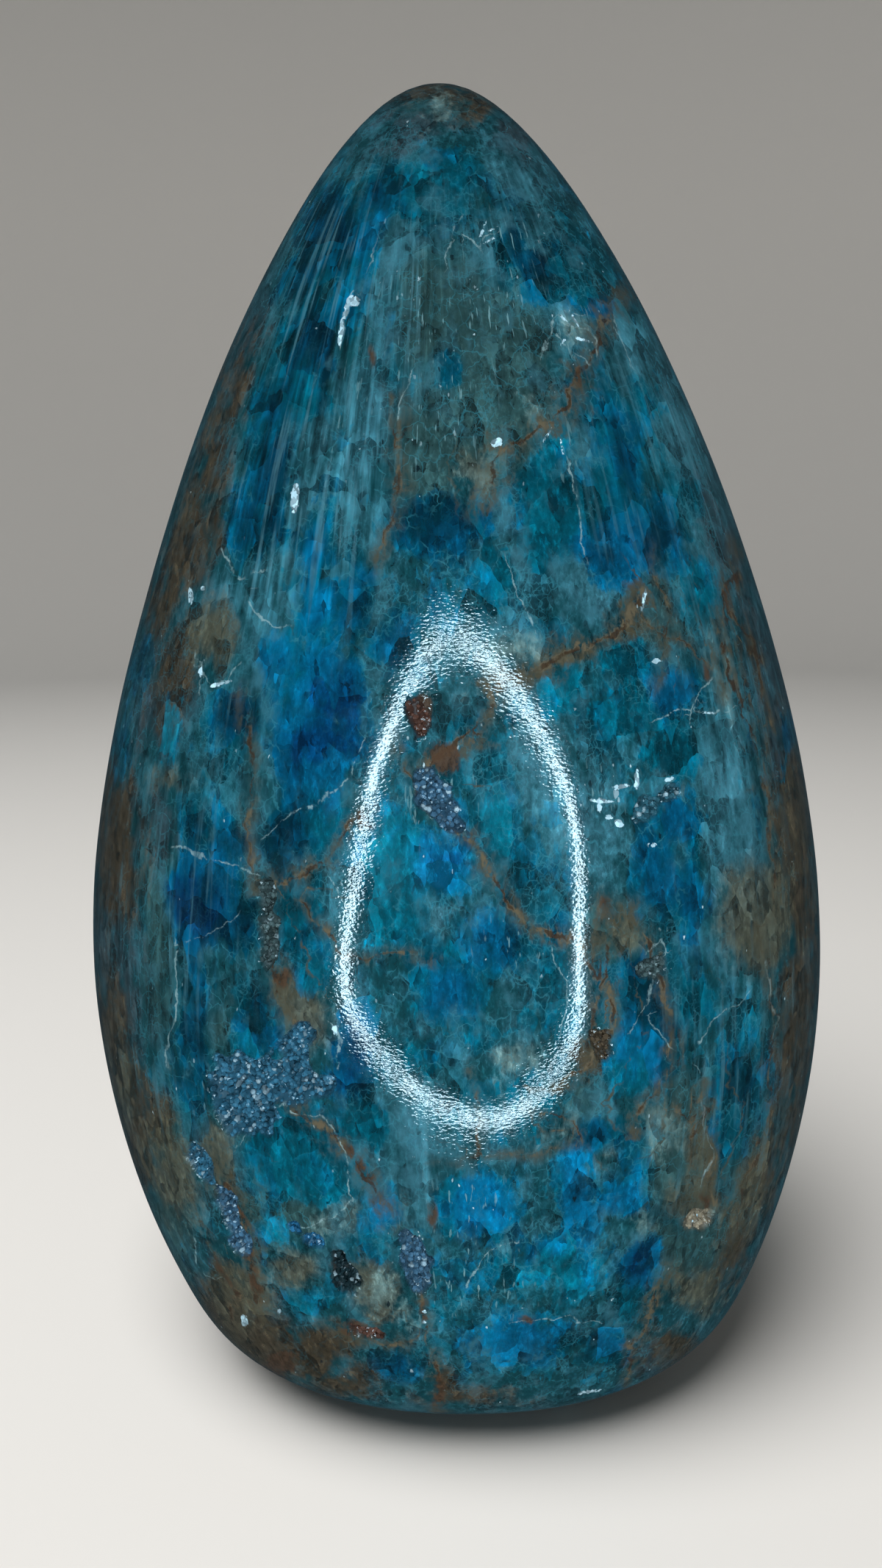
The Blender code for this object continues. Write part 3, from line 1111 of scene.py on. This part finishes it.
def stone_mesh():
    """The fine stone: the smooth form, its slight waviness, its pockets and its markings."""
    outward, stations, faces = coarse_grid()
    for _ in range(SPLIT_PASSES):
        outward, stations, faces, more = split_long_edges(outward, stations, faces)
        if not more:
            break
    smooth = stone_points(outward, stations)
    normals = vertex_normals(smooth, faces)
    side = stations > 0
    fade = smooth_step(smooth[:, 2], 0, WAVE_FADE) * side
    moved = np.zeros(len(smooth))
    for size, height in WAVES:
        moved += noise_at(smooth, size) * height
    depth, owner = pocket_depths(smooth)
    depth *= side
    points = smooth + normals * (moved * fade - depth)[:, None]
    points[:, 2] = np.maximum(points[:, 2], 0)
    stone = new_mesh("stone", points, faces)
    marks = all_markings(smooth, normals)
    off_axis = smooth_step(np.linalg.norm(smooth[:, :2], axis=1), FIBRES_FROM, FIBRES_FULLY)
    marks["fibrous"] *= off_axis
    for name, values in marks.items():
        add_attribute(stone, name, values)
    add_attribute(stone, "pocket", np.clip(depth / FULL_POCKET, 0, 1))
    linings = np.array([LININGS[name] for name in POCKET_LININGS])
    add_vectors(stone, "lining", linings[owner])
    add_vectors(stone, "place", smooth / MM)
    add_vectors(stone, "fibre", np.column_stack([outward * FIBRE_GIRTH, smooth[:, 2]]) / MM)
    crystals = crystal_mesh(points, normals, depth, owner)
    return stone, crystals, smooth, normals


FULL_POCKET = 0.5 * MM
CRYSTAL_FROM = 0.35 * MM
CRYSTALS_PER_MM2 = 8
CRYSTAL_RADIUS = (0.1 * MM, 0.36 * MM)
CRYSTAL_LEAN = 0.55
CRYSTAL_SUNK = 0.12 * MM
PALE_CRYSTALS = 0.1


def crystal_mesh(points, normals, depth, owner):
    """Small six-sided crystals on the pockets' floors, leaning a little and ending below the polish."""
    random = np.random.default_rng(SEED + 1)
    verts, faces, tints = [], [], []
    for i, (_, _, half_width, half_height, _, _) in enumerate(POCKETS_MM):
        floor = np.flatnonzero((owner == i) & (depth > CRYSTAL_FROM))
        if not len(floor):
            continue
        for at in random.choice(floor, int(CRYSTALS_PER_MM2 * math.pi * half_width * half_height)):
            crystal = one_crystal(random, points[at], normals[at], depth[at])
            start = len(verts) * len(crystal)
            verts.append(crystal)
            faces += [[start + corner for corner in face] for face in CRYSTAL_FACES]
            tints.append(crystal_tint(random, LININGS[POCKET_LININGS[i]]))
    made = new_mesh("pocket_crystals", np.vstack(verts), faces)
    made.data.shade_flat()
    add_vectors(made, "tint", np.repeat(tints, len(verts[0]), axis=0))
    return made


SIDES = 6
CRYSTAL_FACES = [[i, (i + 1) % SIDES, (i + 1) % SIDES + SIDES, i + SIDES] for i in range(SIDES)]
CRYSTAL_FACES += [[i + SIDES, (i + 1) % SIDES + SIDES, 2 * SIDES] for i in range(SIDES)]


def one_crystal(random, at, out, room):
    """Twelve corners and a point: a prism with a low six-sided end."""
    radius = random.uniform(*CRYSTAL_RADIUS)
    point = min(radius * 0.7, room * 0.3)
    length = min(radius * random.uniform(0.8, 2.4), room * 0.55)
    axis = out + random.normal(size=3) * CRYSTAL_LEAN
    axis /= np.linalg.norm(axis)
    first = np.cross(axis, random.normal(size=3))
    first /= np.linalg.norm(first)
    second = np.cross(axis, first)
    turns = np.arange(SIDES) * 2 * math.pi / SIDES
    ring = radius * (np.cos(turns)[:, None] * first + np.sin(turns)[:, None] * second)
    foot = at - out * CRYSTAL_SUNK
    return np.vstack([foot + ring, at + axis * length + ring * 0.92, at + axis * (length + point)])


def crystal_tint(random, lining):
    tint = np.array(lining) * random.uniform(0.5, 1.6)
    if random.random() < PALE_CRYSTALS and lining[2] > lining[0]:
        tint = tint * 0.5 + np.array((0.16, 0.22, 0.25)) * random.uniform(0.5, 1.5)
    return tint


def new_mesh(name, points, faces):
    mesh = bpy.data.meshes.new(name)
    mesh.from_pydata(points.tolist(), [], [list(face) for face in faces])
    mesh.shade_smooth()
    mesh.set_sharp_from_angle(angle=SHARP_EDGE)
    made = bpy.data.objects.new(name, mesh)
    bpy.context.collection.objects.link(made)
    print(name, len(points), "points", sum(len(face) - 2 for face in faces), "triangles")
    return made


def add_attribute(piece, name, values):
    made = piece.data.attributes.new(name, "FLOAT", "POINT")
    made.data.foreach_set("value", values.astype(np.float32))


def add_vectors(piece, name, values):
    made = piece.data.attributes.new(name, "FLOAT_VECTOR", "POINT")
    made.data.foreach_set("vector", np.asarray(values, np.float32).ravel())


class Nodes:
    """Adds shader nodes and joins them, so that a layer reads much like a formula."""

    def __init__(self, material):
        material.use_nodes = True
        self.tree = material.node_tree
        self.shader = self.tree.nodes["Principled BSDF"]

    def add(self, kind, inputs, **settings):
        made = self.tree.nodes.new("ShaderNode" + kind)
        for name, value in settings.items():
            setattr(made, name, value)
        for socket, value in inputs.items():
            if isinstance(value, bpy.types.NodeSocket):
                self.tree.links.new(value, made.inputs[socket])
            else:
                made.inputs[socket].default_value = value
        return made

    def surface(self, name, value):
        """Links a value to the shader's socket of this name, or sets it there if it is a constant."""
        if isinstance(value, bpy.types.NodeSocket):
            self.tree.links.new(value, self.shader.inputs[name])
        else:
            self.shader.inputs[name].default_value = value

    def math(self, operation, *values, clamp=False):
        return self.add("Math", dict(enumerate(values)), operation=operation, use_clamp=clamp).outputs[0]

    def vectors(self, operation, *values):
        made = self.add("VectorMath", dict(enumerate(values)), operation=operation)
        return made.outputs["Value" if operation == "DOT_PRODUCT" else "Vector"]

    def sum(self, *values):
        total = values[0]
        for value in values[1:]:
            total = self.math("ADD", total, value)
        return total

    def times(self, *values):
        total = values[0]
        for value in values[1:]:
            total = self.math("MULTIPLY", total, value)
        return total

    def about(self, value, strength):
        """A 0 to 1 value turned into one that varies by this strength about 0."""
        return self.math("MULTIPLY_ADD", value, 2 * strength, -strength)

    def step(self, value, low, high):
        inputs = {"Value": value, "From Min": low, "From Max": high}
        return self.add("MapRange", inputs, interpolation_type="SMOOTHSTEP").outputs["Result"]

    def mix(self, factor, first, second):
        inputs = {0: factor, 6: first, 7: second}
        return self.add("Mix", inputs, data_type="RGBA", clamp_factor=True).outputs[2]

    def scaled(self, colour, factor):
        inputs = {0: 1.0, 6: colour, 7: self.add("CombineColor", {0: factor, 1: factor, 2: factor}).outputs[0]}
        return self.add("Mix", inputs, data_type="RGBA", blend_type="MULTIPLY").outputs[2]

    def attribute(self, name):
        return self.add("Attribute", {}, attribute_name=name).outputs["Fac"]

    def place(self, *scale):
        """Where a point of the stone is, in millimetres, stretched by this scale."""
        found = self.add("Attribute", {}, attribute_name="place").outputs["Vector"]
        return self.add("Mapping", {"Vector": found, "Scale": scale}).outputs[0]

    def fibre(self, shrink):
        """Where a point is around and along the stone, with the length shrunk so that marks run along it."""
        found = self.add("Attribute", {}, attribute_name="fibre").outputs["Vector"]
        return self.add("Mapping", {"Vector": found, "Scale": (1, 1, shrink)}).outputs[0]

    def noise(self, place, size, detail=3.0, roughness=0.5, distortion=0.0):
        inputs = {
            "Vector": place,
            "Scale": 1 / size,
            "Detail": detail,
            "Roughness": roughness,
            "Distortion": distortion,
        }
        return self.add("TexNoise", inputs).outputs["Fac"]

    def cells(self, place, size, feature="F1"):
        return self.add("TexVoronoi", {"Vector": place, "Scale": 1 / size}, feature=feature)

    def warped(self, place, size, strength):
        """The place, moved about by noise of this size and strength."""
        colour = self.add("TexNoise", {"Vector": place, "Scale": 1 / size, "Detail": 2.0}).outputs["Color"]
        shift = self.vectors("MULTIPLY_ADD", colour, (strength,) * 3, (-strength / 2,) * 3)
        return self.vectors("ADD", place, shift)

    def facets(self, place, size):
        """Cells each painted lighter to one side, about 0, as if flat internal facets caught the light, and three
        random numbers for every cell.
        """
        cell = self.cells(place, size)
        offset = self.vectors("SUBTRACT", place, cell.outputs["Position"])
        lean = self.vectors("SUBTRACT", cell.outputs["Color"], (0.5,) * 3)
        slope = self.times(self.vectors("DOT_PRODUCT", offset, lean), 3 / size)
        return slope, self.channels(cell.outputs["Color"])

    def net(self, place, size, width):
        """Thin lines along the borders of cells."""
        edge = self.cells(place, size, "DISTANCE_TO_EDGE").outputs["Distance"]
        return self.step(edge, width, 0.0)

    def channels(self, colour):
        return self.add("SeparateColor", {"Color": colour}).outputs


DEEP_TEAL = (0.0, 0.034, 0.046, 1)
TEAL = (0.0, 0.080, 0.122, 1)
AZURE = (0.0, 0.092, 0.195, 1)
COBALT = (0.0, 0.046, 0.140, 1)
MURK = (0.004, 0.040, 0.050, 1)
MILK = (0.042, 0.150, 0.200, 1)
NET = (0.030, 0.170, 0.220, 1)
GREY_GREEN = (0.020, 0.050, 0.050, 1)
SLATE = (0.024, 0.040, 0.049, 1)
TAUPE = (0.041, 0.030, 0.017, 1)
TAN = (0.062, 0.061, 0.041, 1)
CREAM = (0.105, 0.170, 0.165, 1)
STAIN = (0.050, 0.044, 0.027, 1)
OCHRE = (0.100, 0.080, 0.050, 1)
BROWN = (0.030, 0.016, 0.008, 1)
RUST = (0.058, 0.033, 0.019, 1)
THREAD = (0.070, 0.190, 0.240, 1)
# Pale crack colour, also used for painted glints of bright facets.
PALE_CRACK_AND_GLINT = (0.24, 0.36, 0.38, 1)
# Painted glint colour of short bright dashes.
GLINT_DASH = (0.150, 0.290, 0.320, 1)
# Painted glint colour of sparkles.
SPARKLE = (0.40, 0.54, 0.60, 1)
# Pale flake colour, painted bright as glints.
FLAKE_GLINT = (0.24, 0.36, 0.42, 1)
# Painted shade of tiny pits.
PIT_SHADE = (0.002, 0.008, 0.012, 1)


def ground_colour(nodes, cloud, streak, mid, fine):
    """The stone between the clear grains: murky to milky, in streaks along the fibres."""
    milky = nodes.sum(nodes.about(streak, 0.55), nodes.about(cloud, 0.5), nodes.about(mid, 0.4))
    milky = nodes.sum(milky, nodes.about(fine, 0.3), nodes.times(nodes.attribute("milk"), 0.40), 0.26)
    ground = nodes.mix(nodes.step(milky, 0.0, 1.0), MURK, MILK)
    layers = (
        ("green", GREY_GREEN, 0.32, 0.85, 0.85),
        ("slate", SLATE, 0.32, 0.75, 0.9),
        ("taupe", TAUPE, 0.32, 0.7, 0.95),
        ("tan", TAN, 0.38, 0.85, 0.85),
        ("cream", CREAM, 0.38, 0.8, 0.85),
    )
    for name, colour, low, high, most in layers:
        share = nodes.sum(nodes.attribute(name), nodes.about(cloud, 0.35), nodes.about(streak, 0.35))
        share = nodes.sum(share, nodes.about(mid, 0.35), nodes.about(fine, 0.2))
        ground = nodes.mix(nodes.times(nodes.step(share, low, high), most), ground, colour)
    return ground


def grain_colour(nodes, mid, streak, block):
    """The clear grains: green-teal through azure to cobalt."""
    hue = nodes.sum(nodes.attribute("hue"), nodes.about(mid, 0.3), nodes.about(block[1], 0.1))
    low = nodes.mix(nodes.step(hue, 0.05, 0.5), DEEP_TEAL, TEAL)
    high = nodes.mix(nodes.step(hue, 0.75, 1.0), AZURE, COBALT)
    colour = nodes.mix(nodes.step(hue, 0.4, 0.75), low, high)
    light = nodes.sum(nodes.attribute("light"), nodes.about(mid, 0.4), nodes.about(streak, 0.4))
    light = nodes.sum(light, nodes.about(block[2], 0.25), 0.42)
    return nodes.scaled(colour, nodes.math("MAXIMUM", light, 0.25))


def line_mask(nodes, kind, place, wander, widen, soft):
    """Where a drawn line is: wavy, uneven in width and fading past its ends."""
    wave = nodes.about(nodes.noise(place, 1.6, 5, 0.65), wander)
    distance = nodes.math("ABSOLUTE", nodes.sum(nodes.attribute(kind + "_side"), wave))
    uneven = nodes.math("MULTIPLY_ADD", nodes.noise(place, 2.0, 3, 0.6), 3.2 * widen, -0.9 * widen)
    width = nodes.times(nodes.attribute(kind + "_width"), uneven)
    body = nodes.step(nodes.math("SUBTRACT", width, distance), -soft, soft)
    return nodes.times(body, nodes.step(nodes.attribute(kind + "_near"), 1.8 * widen, 1.1 * widen))


def with_lines(nodes, colour, plain, streak, fine):
    """Brown stains with a broken ochre thread and a dark core, and thin pale cracks, a few of them painted glints
    of bright facets.
    """
    frayed = nodes.step(nodes.sum(streak, nodes.about(fine, 0.6)), 0.3, 0.7)
    halo = nodes.times(line_mask(nodes, "brown", plain, 0.9, 3.2, 0.8), frayed, 0.9)
    colour = nodes.mix(halo, colour, STAIN)
    broken = nodes.step(nodes.noise(plain, 2.6, 3, 0.6), 0.42, 0.56)
    thread = nodes.times(line_mask(nodes, "brown", plain, 0.9, 1.0, 0.15), nodes.step(fine, 0.4, 0.55), broken)
    colour = nodes.mix(nodes.times(thread, 0.85), colour, OCHRE)
    core = nodes.times(line_mask(nodes, "brown", plain, 0.9, 0.55, 0.08), nodes.step(streak, 0.55, 0.45), 0.8)
    colour = nodes.mix(core, colour, BROWN)
    pale = nodes.times(line_mask(nodes, "pale", plain, 0.6, 0.6, 0.06), nodes.step(fine, 0.4, 0.6), 0.6)
    return nodes.mix(pale, colour, PALE_CRACK_AND_GLINT)


def with_nets(nodes, colour, plain, cloud, streak, along, open_ground):
    """Faint pale hairlines: long ones along the fibres, and finer nets between them."""
    long_cells = nodes.warped(nodes.fibre(0.25), 1.2, 1.0)
    coarse = nodes.times(nodes.net(long_cells, 2.4, 0.035), nodes.step(cloud, 0.4, 0.62), along, open_ground, 0.35)
    colour = nodes.mix(coarse, colour, NET)
    middle = nodes.net(nodes.warped(nodes.place(1, 1, 0.9), 1.1, 1.4), 1.7, 0.05)
    colour = nodes.mix(nodes.times(middle, nodes.step(streak, 0.4, 0.6), open_ground, 0.45), colour, NET)
    fine = nodes.net(nodes.warped(plain, 0.6, 0.7), 0.8, 0.07)
    colour = nodes.mix(nodes.times(fine, nodes.step(cloud, 0.45, 0.65), open_ground, 0.4), colour, NET)
    thread = nodes.noise(nodes.warped(nodes.fibre(0.06), 1.2, 0.25), 0.8, 3)
    thread = nodes.times(nodes.step(thread, 0.56, 0.68), nodes.attribute("fibrous"), nodes.step(cloud, 0.3, 0.6))
    return nodes.mix(nodes.times(thread, 0.45), colour, THREAD)


def with_specks(nodes, colour):
    """Painted glints: white sparkles, thick in some places; and painted shade: small dark specks for tiny pits."""
    uneven = nodes.warped(nodes.place(1, 1, 0.5), 0.3, 0.35)
    for size, colour_of, rare in ((0.34, SPARKLE, 0.993), (0.55, SPARKLE, 0.997), (0.7, PIT_SHADE, 0.985)):
        speck = nodes.cells(uneven, size)
        random = nodes.channels(speck.outputs["Color"])
        chance = nodes.sum(random[0], nodes.times(nodes.attribute("sparkle"), 0.035))
        reach = nodes.math("MULTIPLY_ADD", random[1], 0.3, 0.05)
        spot = nodes.step(nodes.math("SUBTRACT", reach, speck.outputs["Distance"]), -0.05, 0.08)
        strength = nodes.math("MULTIPLY_ADD", random[2], 0.8, 0.1)
        spot = nodes.times(spot, nodes.step(chance, rare, rare + 0.003), strength)
        colour = nodes.mix(spot, colour, colour_of)
    return colour


def with_glint_dashes(nodes, colour):
    """Painted glints: short bright dashes along the fibres where the stone sparkles."""
    glint_dash = nodes.noise(nodes.warped(nodes.fibre(0.2), 1.5, 0.4), 0.42, 2, 0.5)
    glint_dash = nodes.times(nodes.step(glint_dash, 0.64, 0.7), nodes.attribute("sparkle"), 0.7)
    return nodes.mix(glint_dash, colour, GLINT_DASH)


def between(nodes, share, first, second):
    """One value turning into another as the share goes from 0 to 1."""
    return nodes.math("MULTIPLY_ADD", nodes.math("SUBTRACT", second, first), share, first)


def stone_material():
    material = bpy.data.materials.new("apatite_stone")
    nodes = Nodes(material)
    plain = nodes.place(1, 1, 0.8)
    fibre = nodes.warped(nodes.place(1, 1, 0.6), 2.5, 1.8)
    along = nodes.attribute("fibrous")
    threads = nodes.noise(nodes.fibre(0.07), 1.8, 4, 0.6, 0.3)
    blotches = nodes.noise(nodes.warped(nodes.place(1, 1, 0.85), 1.5, 1.6), 2.4, 5, 0.6)
    streak = between(nodes, along, blotches, threads)
    cloud = nodes.noise(fibre, 4.5, 4, 0.55, 0.6)
    mid = nodes.noise(nodes.warped(nodes.place(1, 1, 0.55), 1.5, 1.2), 1.7, 4, 0.55)
    splinters = nodes.noise(nodes.warped(nodes.fibre(0.12), 1.0, 0.3), 0.9, 3, 0.5)
    grit = nodes.noise(nodes.warped(nodes.place(1, 1, 0.45), 0.7, 0.5), 0.6, 5, 0.68)
    fine = between(nodes, along, grit, splinters)

    # Painted light: each cell is lighter to one side, as if flat internal facets caught the light.
    slope, block = nodes.facets(nodes.warped(nodes.place(1, 1, 0.7), 1.8, 1.2), 3.6)
    chip_light, chip = nodes.facets(nodes.warped(nodes.place(1, 1, 0.55), 1.0, 0.7), 1.2)
    ground = ground_colour(nodes, cloud, streak, mid, fine)
    grains = grain_colour(nodes, mid, streak, block)
    clear = nodes.sum(nodes.attribute("blue"), nodes.about(cloud, 0.28), nodes.about(mid, 0.24))
    clear = nodes.sum(clear, nodes.about(fine, 0.18), nodes.about(chip[0], 0.08))
    crisp = nodes.step(nodes.sum(clear, nodes.about(block[0], 0.2)), 0.47, 0.53)
    share = nodes.sum(nodes.times(nodes.step(clear, 0.3, 0.7), 0.5), nodes.times(crisp, 0.5))
    colour = nodes.mix(share, ground, grains)
    # Painted light on the tilted planes and chips, with random tone, darkens and lightens the colour.
    lit_planes = nodes.times(nodes.sum(slope, nodes.about(block[1], 0.2)), nodes.step(cloud, 0.35, 0.6), 0.6)
    lit_chips = nodes.times(nodes.sum(chip_light, nodes.about(chip[1], 0.25)), nodes.step(mid, 0.45, 0.6), 0.55)
    shade = nodes.sum(lit_planes, lit_chips, nodes.about(fine, 0.8), nodes.times(nodes.step(fine, 0.52, 0.72), 0.6))
    shade = nodes.sum(shade, nodes.times(nodes.about(streak, 1.0), along))
    colour = nodes.scaled(colour, nodes.math("MAXIMUM", nodes.sum(shade, 0.9), 0.36))
    quiet = nodes.math("MAXIMUM", nodes.attribute("taupe"), nodes.attribute("tan"))
    quiet = nodes.math("MAXIMUM", nodes.step(clear, 0.62, 0.85), quiet)
    open_ground = nodes.math("MULTIPLY_ADD", quiet, -0.85, 1.0)
    veil = nodes.noise(nodes.warped(nodes.place(0.9, 1, 0.6), 3.0, 2.5), 3.2, 6, 0.62)
    colour = nodes.mix(nodes.times(nodes.step(veil, 0.5, 0.72), open_ground, 0.5), colour, MILK)
    colour = with_nets(nodes, colour, plain, cloud, streak, along, open_ground)
    # Painted glints along the fibres.
    colour = with_glint_dashes(nodes, colour)
    colour = with_lines(nodes, colour, plain, streak, fine)
    ragged = nodes.sum(nodes.math("MULTIPLY_ADD", fine, 2.4, -0.2), nodes.about(mid, 0.6))
    rusty = nodes.times(nodes.attribute("rust"), ragged)
    rusty_colour = nodes.mix(nodes.step(fine, 0.4, 0.6), BROWN, RUST)
    colour = nodes.mix(nodes.times(nodes.step(rusty, 0.35, 0.8), 0.9), colour, rusty_colour)
    pocket = nodes.attribute("pocket")
    lining = nodes.add("Attribute", {}, attribute_name="lining").outputs["Vector"]
    lining = nodes.scaled(lining, nodes.math("MULTIPLY_ADD", fine, 1.6, 0.0))
    colour = nodes.mix(nodes.times(pocket, 0.85), colour, lining)
    # Painted highlights: pale flakes turned into bright glints where the glint marks lie.
    splinter = nodes.channels(nodes.cells(nodes.warped(plain, 0.4, 0.4), 0.45).outputs["Color"])
    bright = nodes.sum(nodes.attribute("glint"), nodes.about(fine, 0.3), nodes.about(splinter[0], 0.2))
    flake_glint = nodes.scaled(FLAKE_GLINT, nodes.math("MULTIPLY_ADD", splinter[1], 1.9, 0.4))
    colour = nodes.mix(nodes.times(nodes.step(bright, 0.48, 0.6), 0.9), colour, flake_glint)
    colour = with_specks(nodes, colour)

    nodes.surface("Base Color", colour)
    nodes.surface("Roughness", nodes.math("MULTIPLY_ADD", pocket, 0.3, 0.075))
    nodes.surface("IOR", 1.63)
    peel = nodes.noise(nodes.place(1, 1, 1.7), 0.42, 1, 0.5)
    patchy = nodes.step(nodes.noise(plain, 9.0, 2), 0.35, 0.65)
    bump = {"Height": peel, "Distance": 0.017 * MM, "Strength": nodes.math("MULTIPLY_ADD", patchy, 0.6, 0.4)}
    nodes.surface("Normal", nodes.add("Bump", bump).outputs["Normal"])
    return material


def crystal_material():
    material = bpy.data.materials.new("apatite_crystals")
    nodes = Nodes(material)
    nodes.surface("Base Color", nodes.add("Attribute", {}, attribute_name="tint").outputs["Vector"])
    nodes.surface("Roughness", 0.16)
    nodes.surface("IOR", 1.63)
    return material


RING_WIDTHS = (4.8 * MM, 3.2 * MM)
RING_STRENGTH = 33
RING_NEAR_PX = 16
RING_SMOOTHING = 2


def emitter(name, strength, colour):
    material = bpy.data.materials.new(name)
    material.use_nodes = True
    nodes = material.node_tree.nodes
    nodes.remove(nodes["Principled BSDF"])
    glow = nodes.new("ShaderNodeEmission")
    glow.inputs["Color"].default_value = colour
    glow.inputs["Strength"].default_value = strength
    material.node_tree.links.new(glow.outputs[0], nodes["Material Output"].inputs["Surface"])
    return material


def mirrored_curve(points, normals):
    """Where the ring lamp is: its reflection's points, sent back off the stone to the lens's plane."""
    eye = np.array(CAMERA_AT)
    forward = np.array(photo_axes()[2])
    sight = points - eye
    seen = (sight * normals).sum(axis=1) < 0
    points, normals = points[seen], normals[seen]
    places = photo_places(points)
    curve = []
    for pixel in RING_PX:
        weight = np.exp(-(((places - pixel) ** 2).sum(axis=1)) / RING_NEAR_PX**2)
        at = weight @ points / weight.sum()
        out = weight @ normals
        out /= np.linalg.norm(out)
        ray = at - eye
        ray -= 2 * (ray @ out) * out
        curve.append(at + ray * ((eye - at) @ forward) / (ray @ forward))
    curve = np.array(curve)
    for _ in range(RING_SMOOTHING):
        curve = (np.roll(curve, 1, axis=0) + 2 * curve + np.roll(curve, -1, axis=0)) / 4
    return curve


def light_only(light, lit):
    receivers = bpy.data.collections.new(light.name + "_lights_these")
    for piece in lit:
        receivers.objects.link(piece)
    light.light_linking.receiver_collection = receivers


def ring_light(points, normals, lit):
    """The lamp around the lens, which the polished face mirrors. The camera doesn't see it."""
    curve = mirrored_curve(points, normals)
    print("ring", (curve.min(axis=0) / MM).round(1), (curve.max(axis=0) / MM).round(1))
    forward = np.array(photo_axes()[2])
    along = np.roll(curve, -1, axis=0) - np.roll(curve, 1, axis=0)
    across = np.cross(forward, along / np.linalg.norm(along, axis=1)[:, None])
    count = len(curve)
    here, after = np.arange(count), (np.arange(count) + 1) % count
    ends = curve[:, 2].min(), curve[:, 2].max()
    half = across * np.interp(curve[:, 2], ends, RING_WIDTHS)[:, None] / 2
    corners = np.vstack([curve - half, curve + half])
    ring = new_mesh("ring_light", corners, np.column_stack([here, after, after + count, here + count]))
    ring.data.materials.append(emitter("ring_glow", RING_STRENGTH, (0.62, 0.87, 1, 1)))
    ring.visible_camera = False
    light_only(ring, lit)


FLOOR_RADIUS = 0.9
SWEEP_RADIUS = 0.5
SWEEP_TOP = 1.6
SWEEP_STEPS = 8
FLOOR_SEGMENTS = 96


def studio():
    """A pale floor that sweeps up all round."""
    rings = [(0.0, 0.0), (FLOOR_RADIUS, 0.0)]
    for i in range(1, SWEEP_STEPS + 1):
        turn = i / SWEEP_STEPS * math.pi / 2
        rings.append((FLOOR_RADIUS + SWEEP_RADIUS * math.sin(turn), SWEEP_RADIUS * (1 - math.cos(turn))))
    rings.append((FLOOR_RADIUS + SWEEP_RADIUS, SWEEP_TOP))
    bm = bmesh.new()
    profile = [bm.verts.new((x, 0, z)) for x, z in rings]
    edges = [bm.edges.new(pair) for pair in zip(profile, profile[1:])]
    whole = {"axis": (0, 0, 1), "cent": (0, 0, 0), "angle": 2 * math.pi, "steps": FLOOR_SEGMENTS}
    bmesh.ops.spin(bm, geom=profile + edges, use_merge=True, **whole)
    bmesh.ops.remove_doubles(bm, verts=bm.verts, dist=1e-5)
    bmesh.ops.recalc_face_normals(bm, faces=bm.faces)
    mesh = bpy.data.meshes.new("floor")
    bm.to_mesh(mesh)
    bm.free()
    mesh.shade_smooth()
    floor = bpy.data.objects.new("floor", mesh)
    bpy.context.collection.objects.link(floor)
    material = bpy.data.materials.new("floor_paint")
    nodes = Nodes(material)
    nodes.surface("Base Color", (0.66, 0.64, 0.61, 1))
    nodes.surface("Roughness", 0.8)
    floor.data.materials.append(material)
    floor.visible_glossy = False
    return floor


def soft_light(name, at, size, power):
    light = bpy.data.lights.new(name, "AREA")
    light.shape = "DISK"
    light.size = size
    light.energy = power
    made = bpy.data.objects.new(name, light)
    bpy.context.collection.objects.link(made)
    made.location = at
    made.rotation_mode = "QUATERNION"
    made.rotation_quaternion = (Vector((0, 0, 0.06)) - Vector(at)).to_track_quat("-Z", "Y")
    made.visible_glossy = False
    made.visible_camera = False
    return made


def photo_camera():
    data = bpy.data.cameras.new("photo_camera")
    data.sensor_width = SENSOR
    data.lens = SENSOR * FOCAL_PX / PHOTO_HEIGHT_PX
    data.clip_start = 0.005
    camera = bpy.data.objects.new("photo_camera", data)
    bpy.context.collection.objects.link(camera)
    right, up, forward = photo_axes()
    camera.matrix_world = Matrix.Translation(CAMERA_AT) @ Matrix((right, up, -forward)).transposed().to_4x4()
    bpy.context.scene.camera = camera


def world():
    made = bpy.data.worlds.new("world")
    made.use_nodes = True
    sky = made.node_tree.nodes["Background"]
    sky.inputs["Color"].default_value = (0.45, 0.8, 1, 1)
    sky.inputs["Strength"].default_value = 0.05
    bpy.context.scene.world = made


def main():
    photo_camera()
    world()
    floor = studio()
    light_only(soft_light("over_floor", (-0.25, -0.35, 0.9), 0.7, 14), [floor])
    stone, crystals, smooth, normals = stone_mesh()
    stone.data.materials.append(stone_material())
    crystals.data.materials.append(crystal_material())
    for piece in (stone, crystals):
        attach(piece, "root")
        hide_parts("apatite_freeform")
    ring_light(smooth, normals, (stone, crystals))
    light_only(soft_light("front", (-0.04, -0.6, 0.18), 0.4, 2.4), (stone, crystals))
    light_only(soft_light("above", (-0.12, -0.3, 0.8), 0.6, 1.8), (stone, crystals))
    light_only(soft_light("behind", (0.15, 0.6, 0.25), 0.5, 4), (stone, crystals))
    bpy.context.scene.view_settings.view_transform = "Standard"


main()
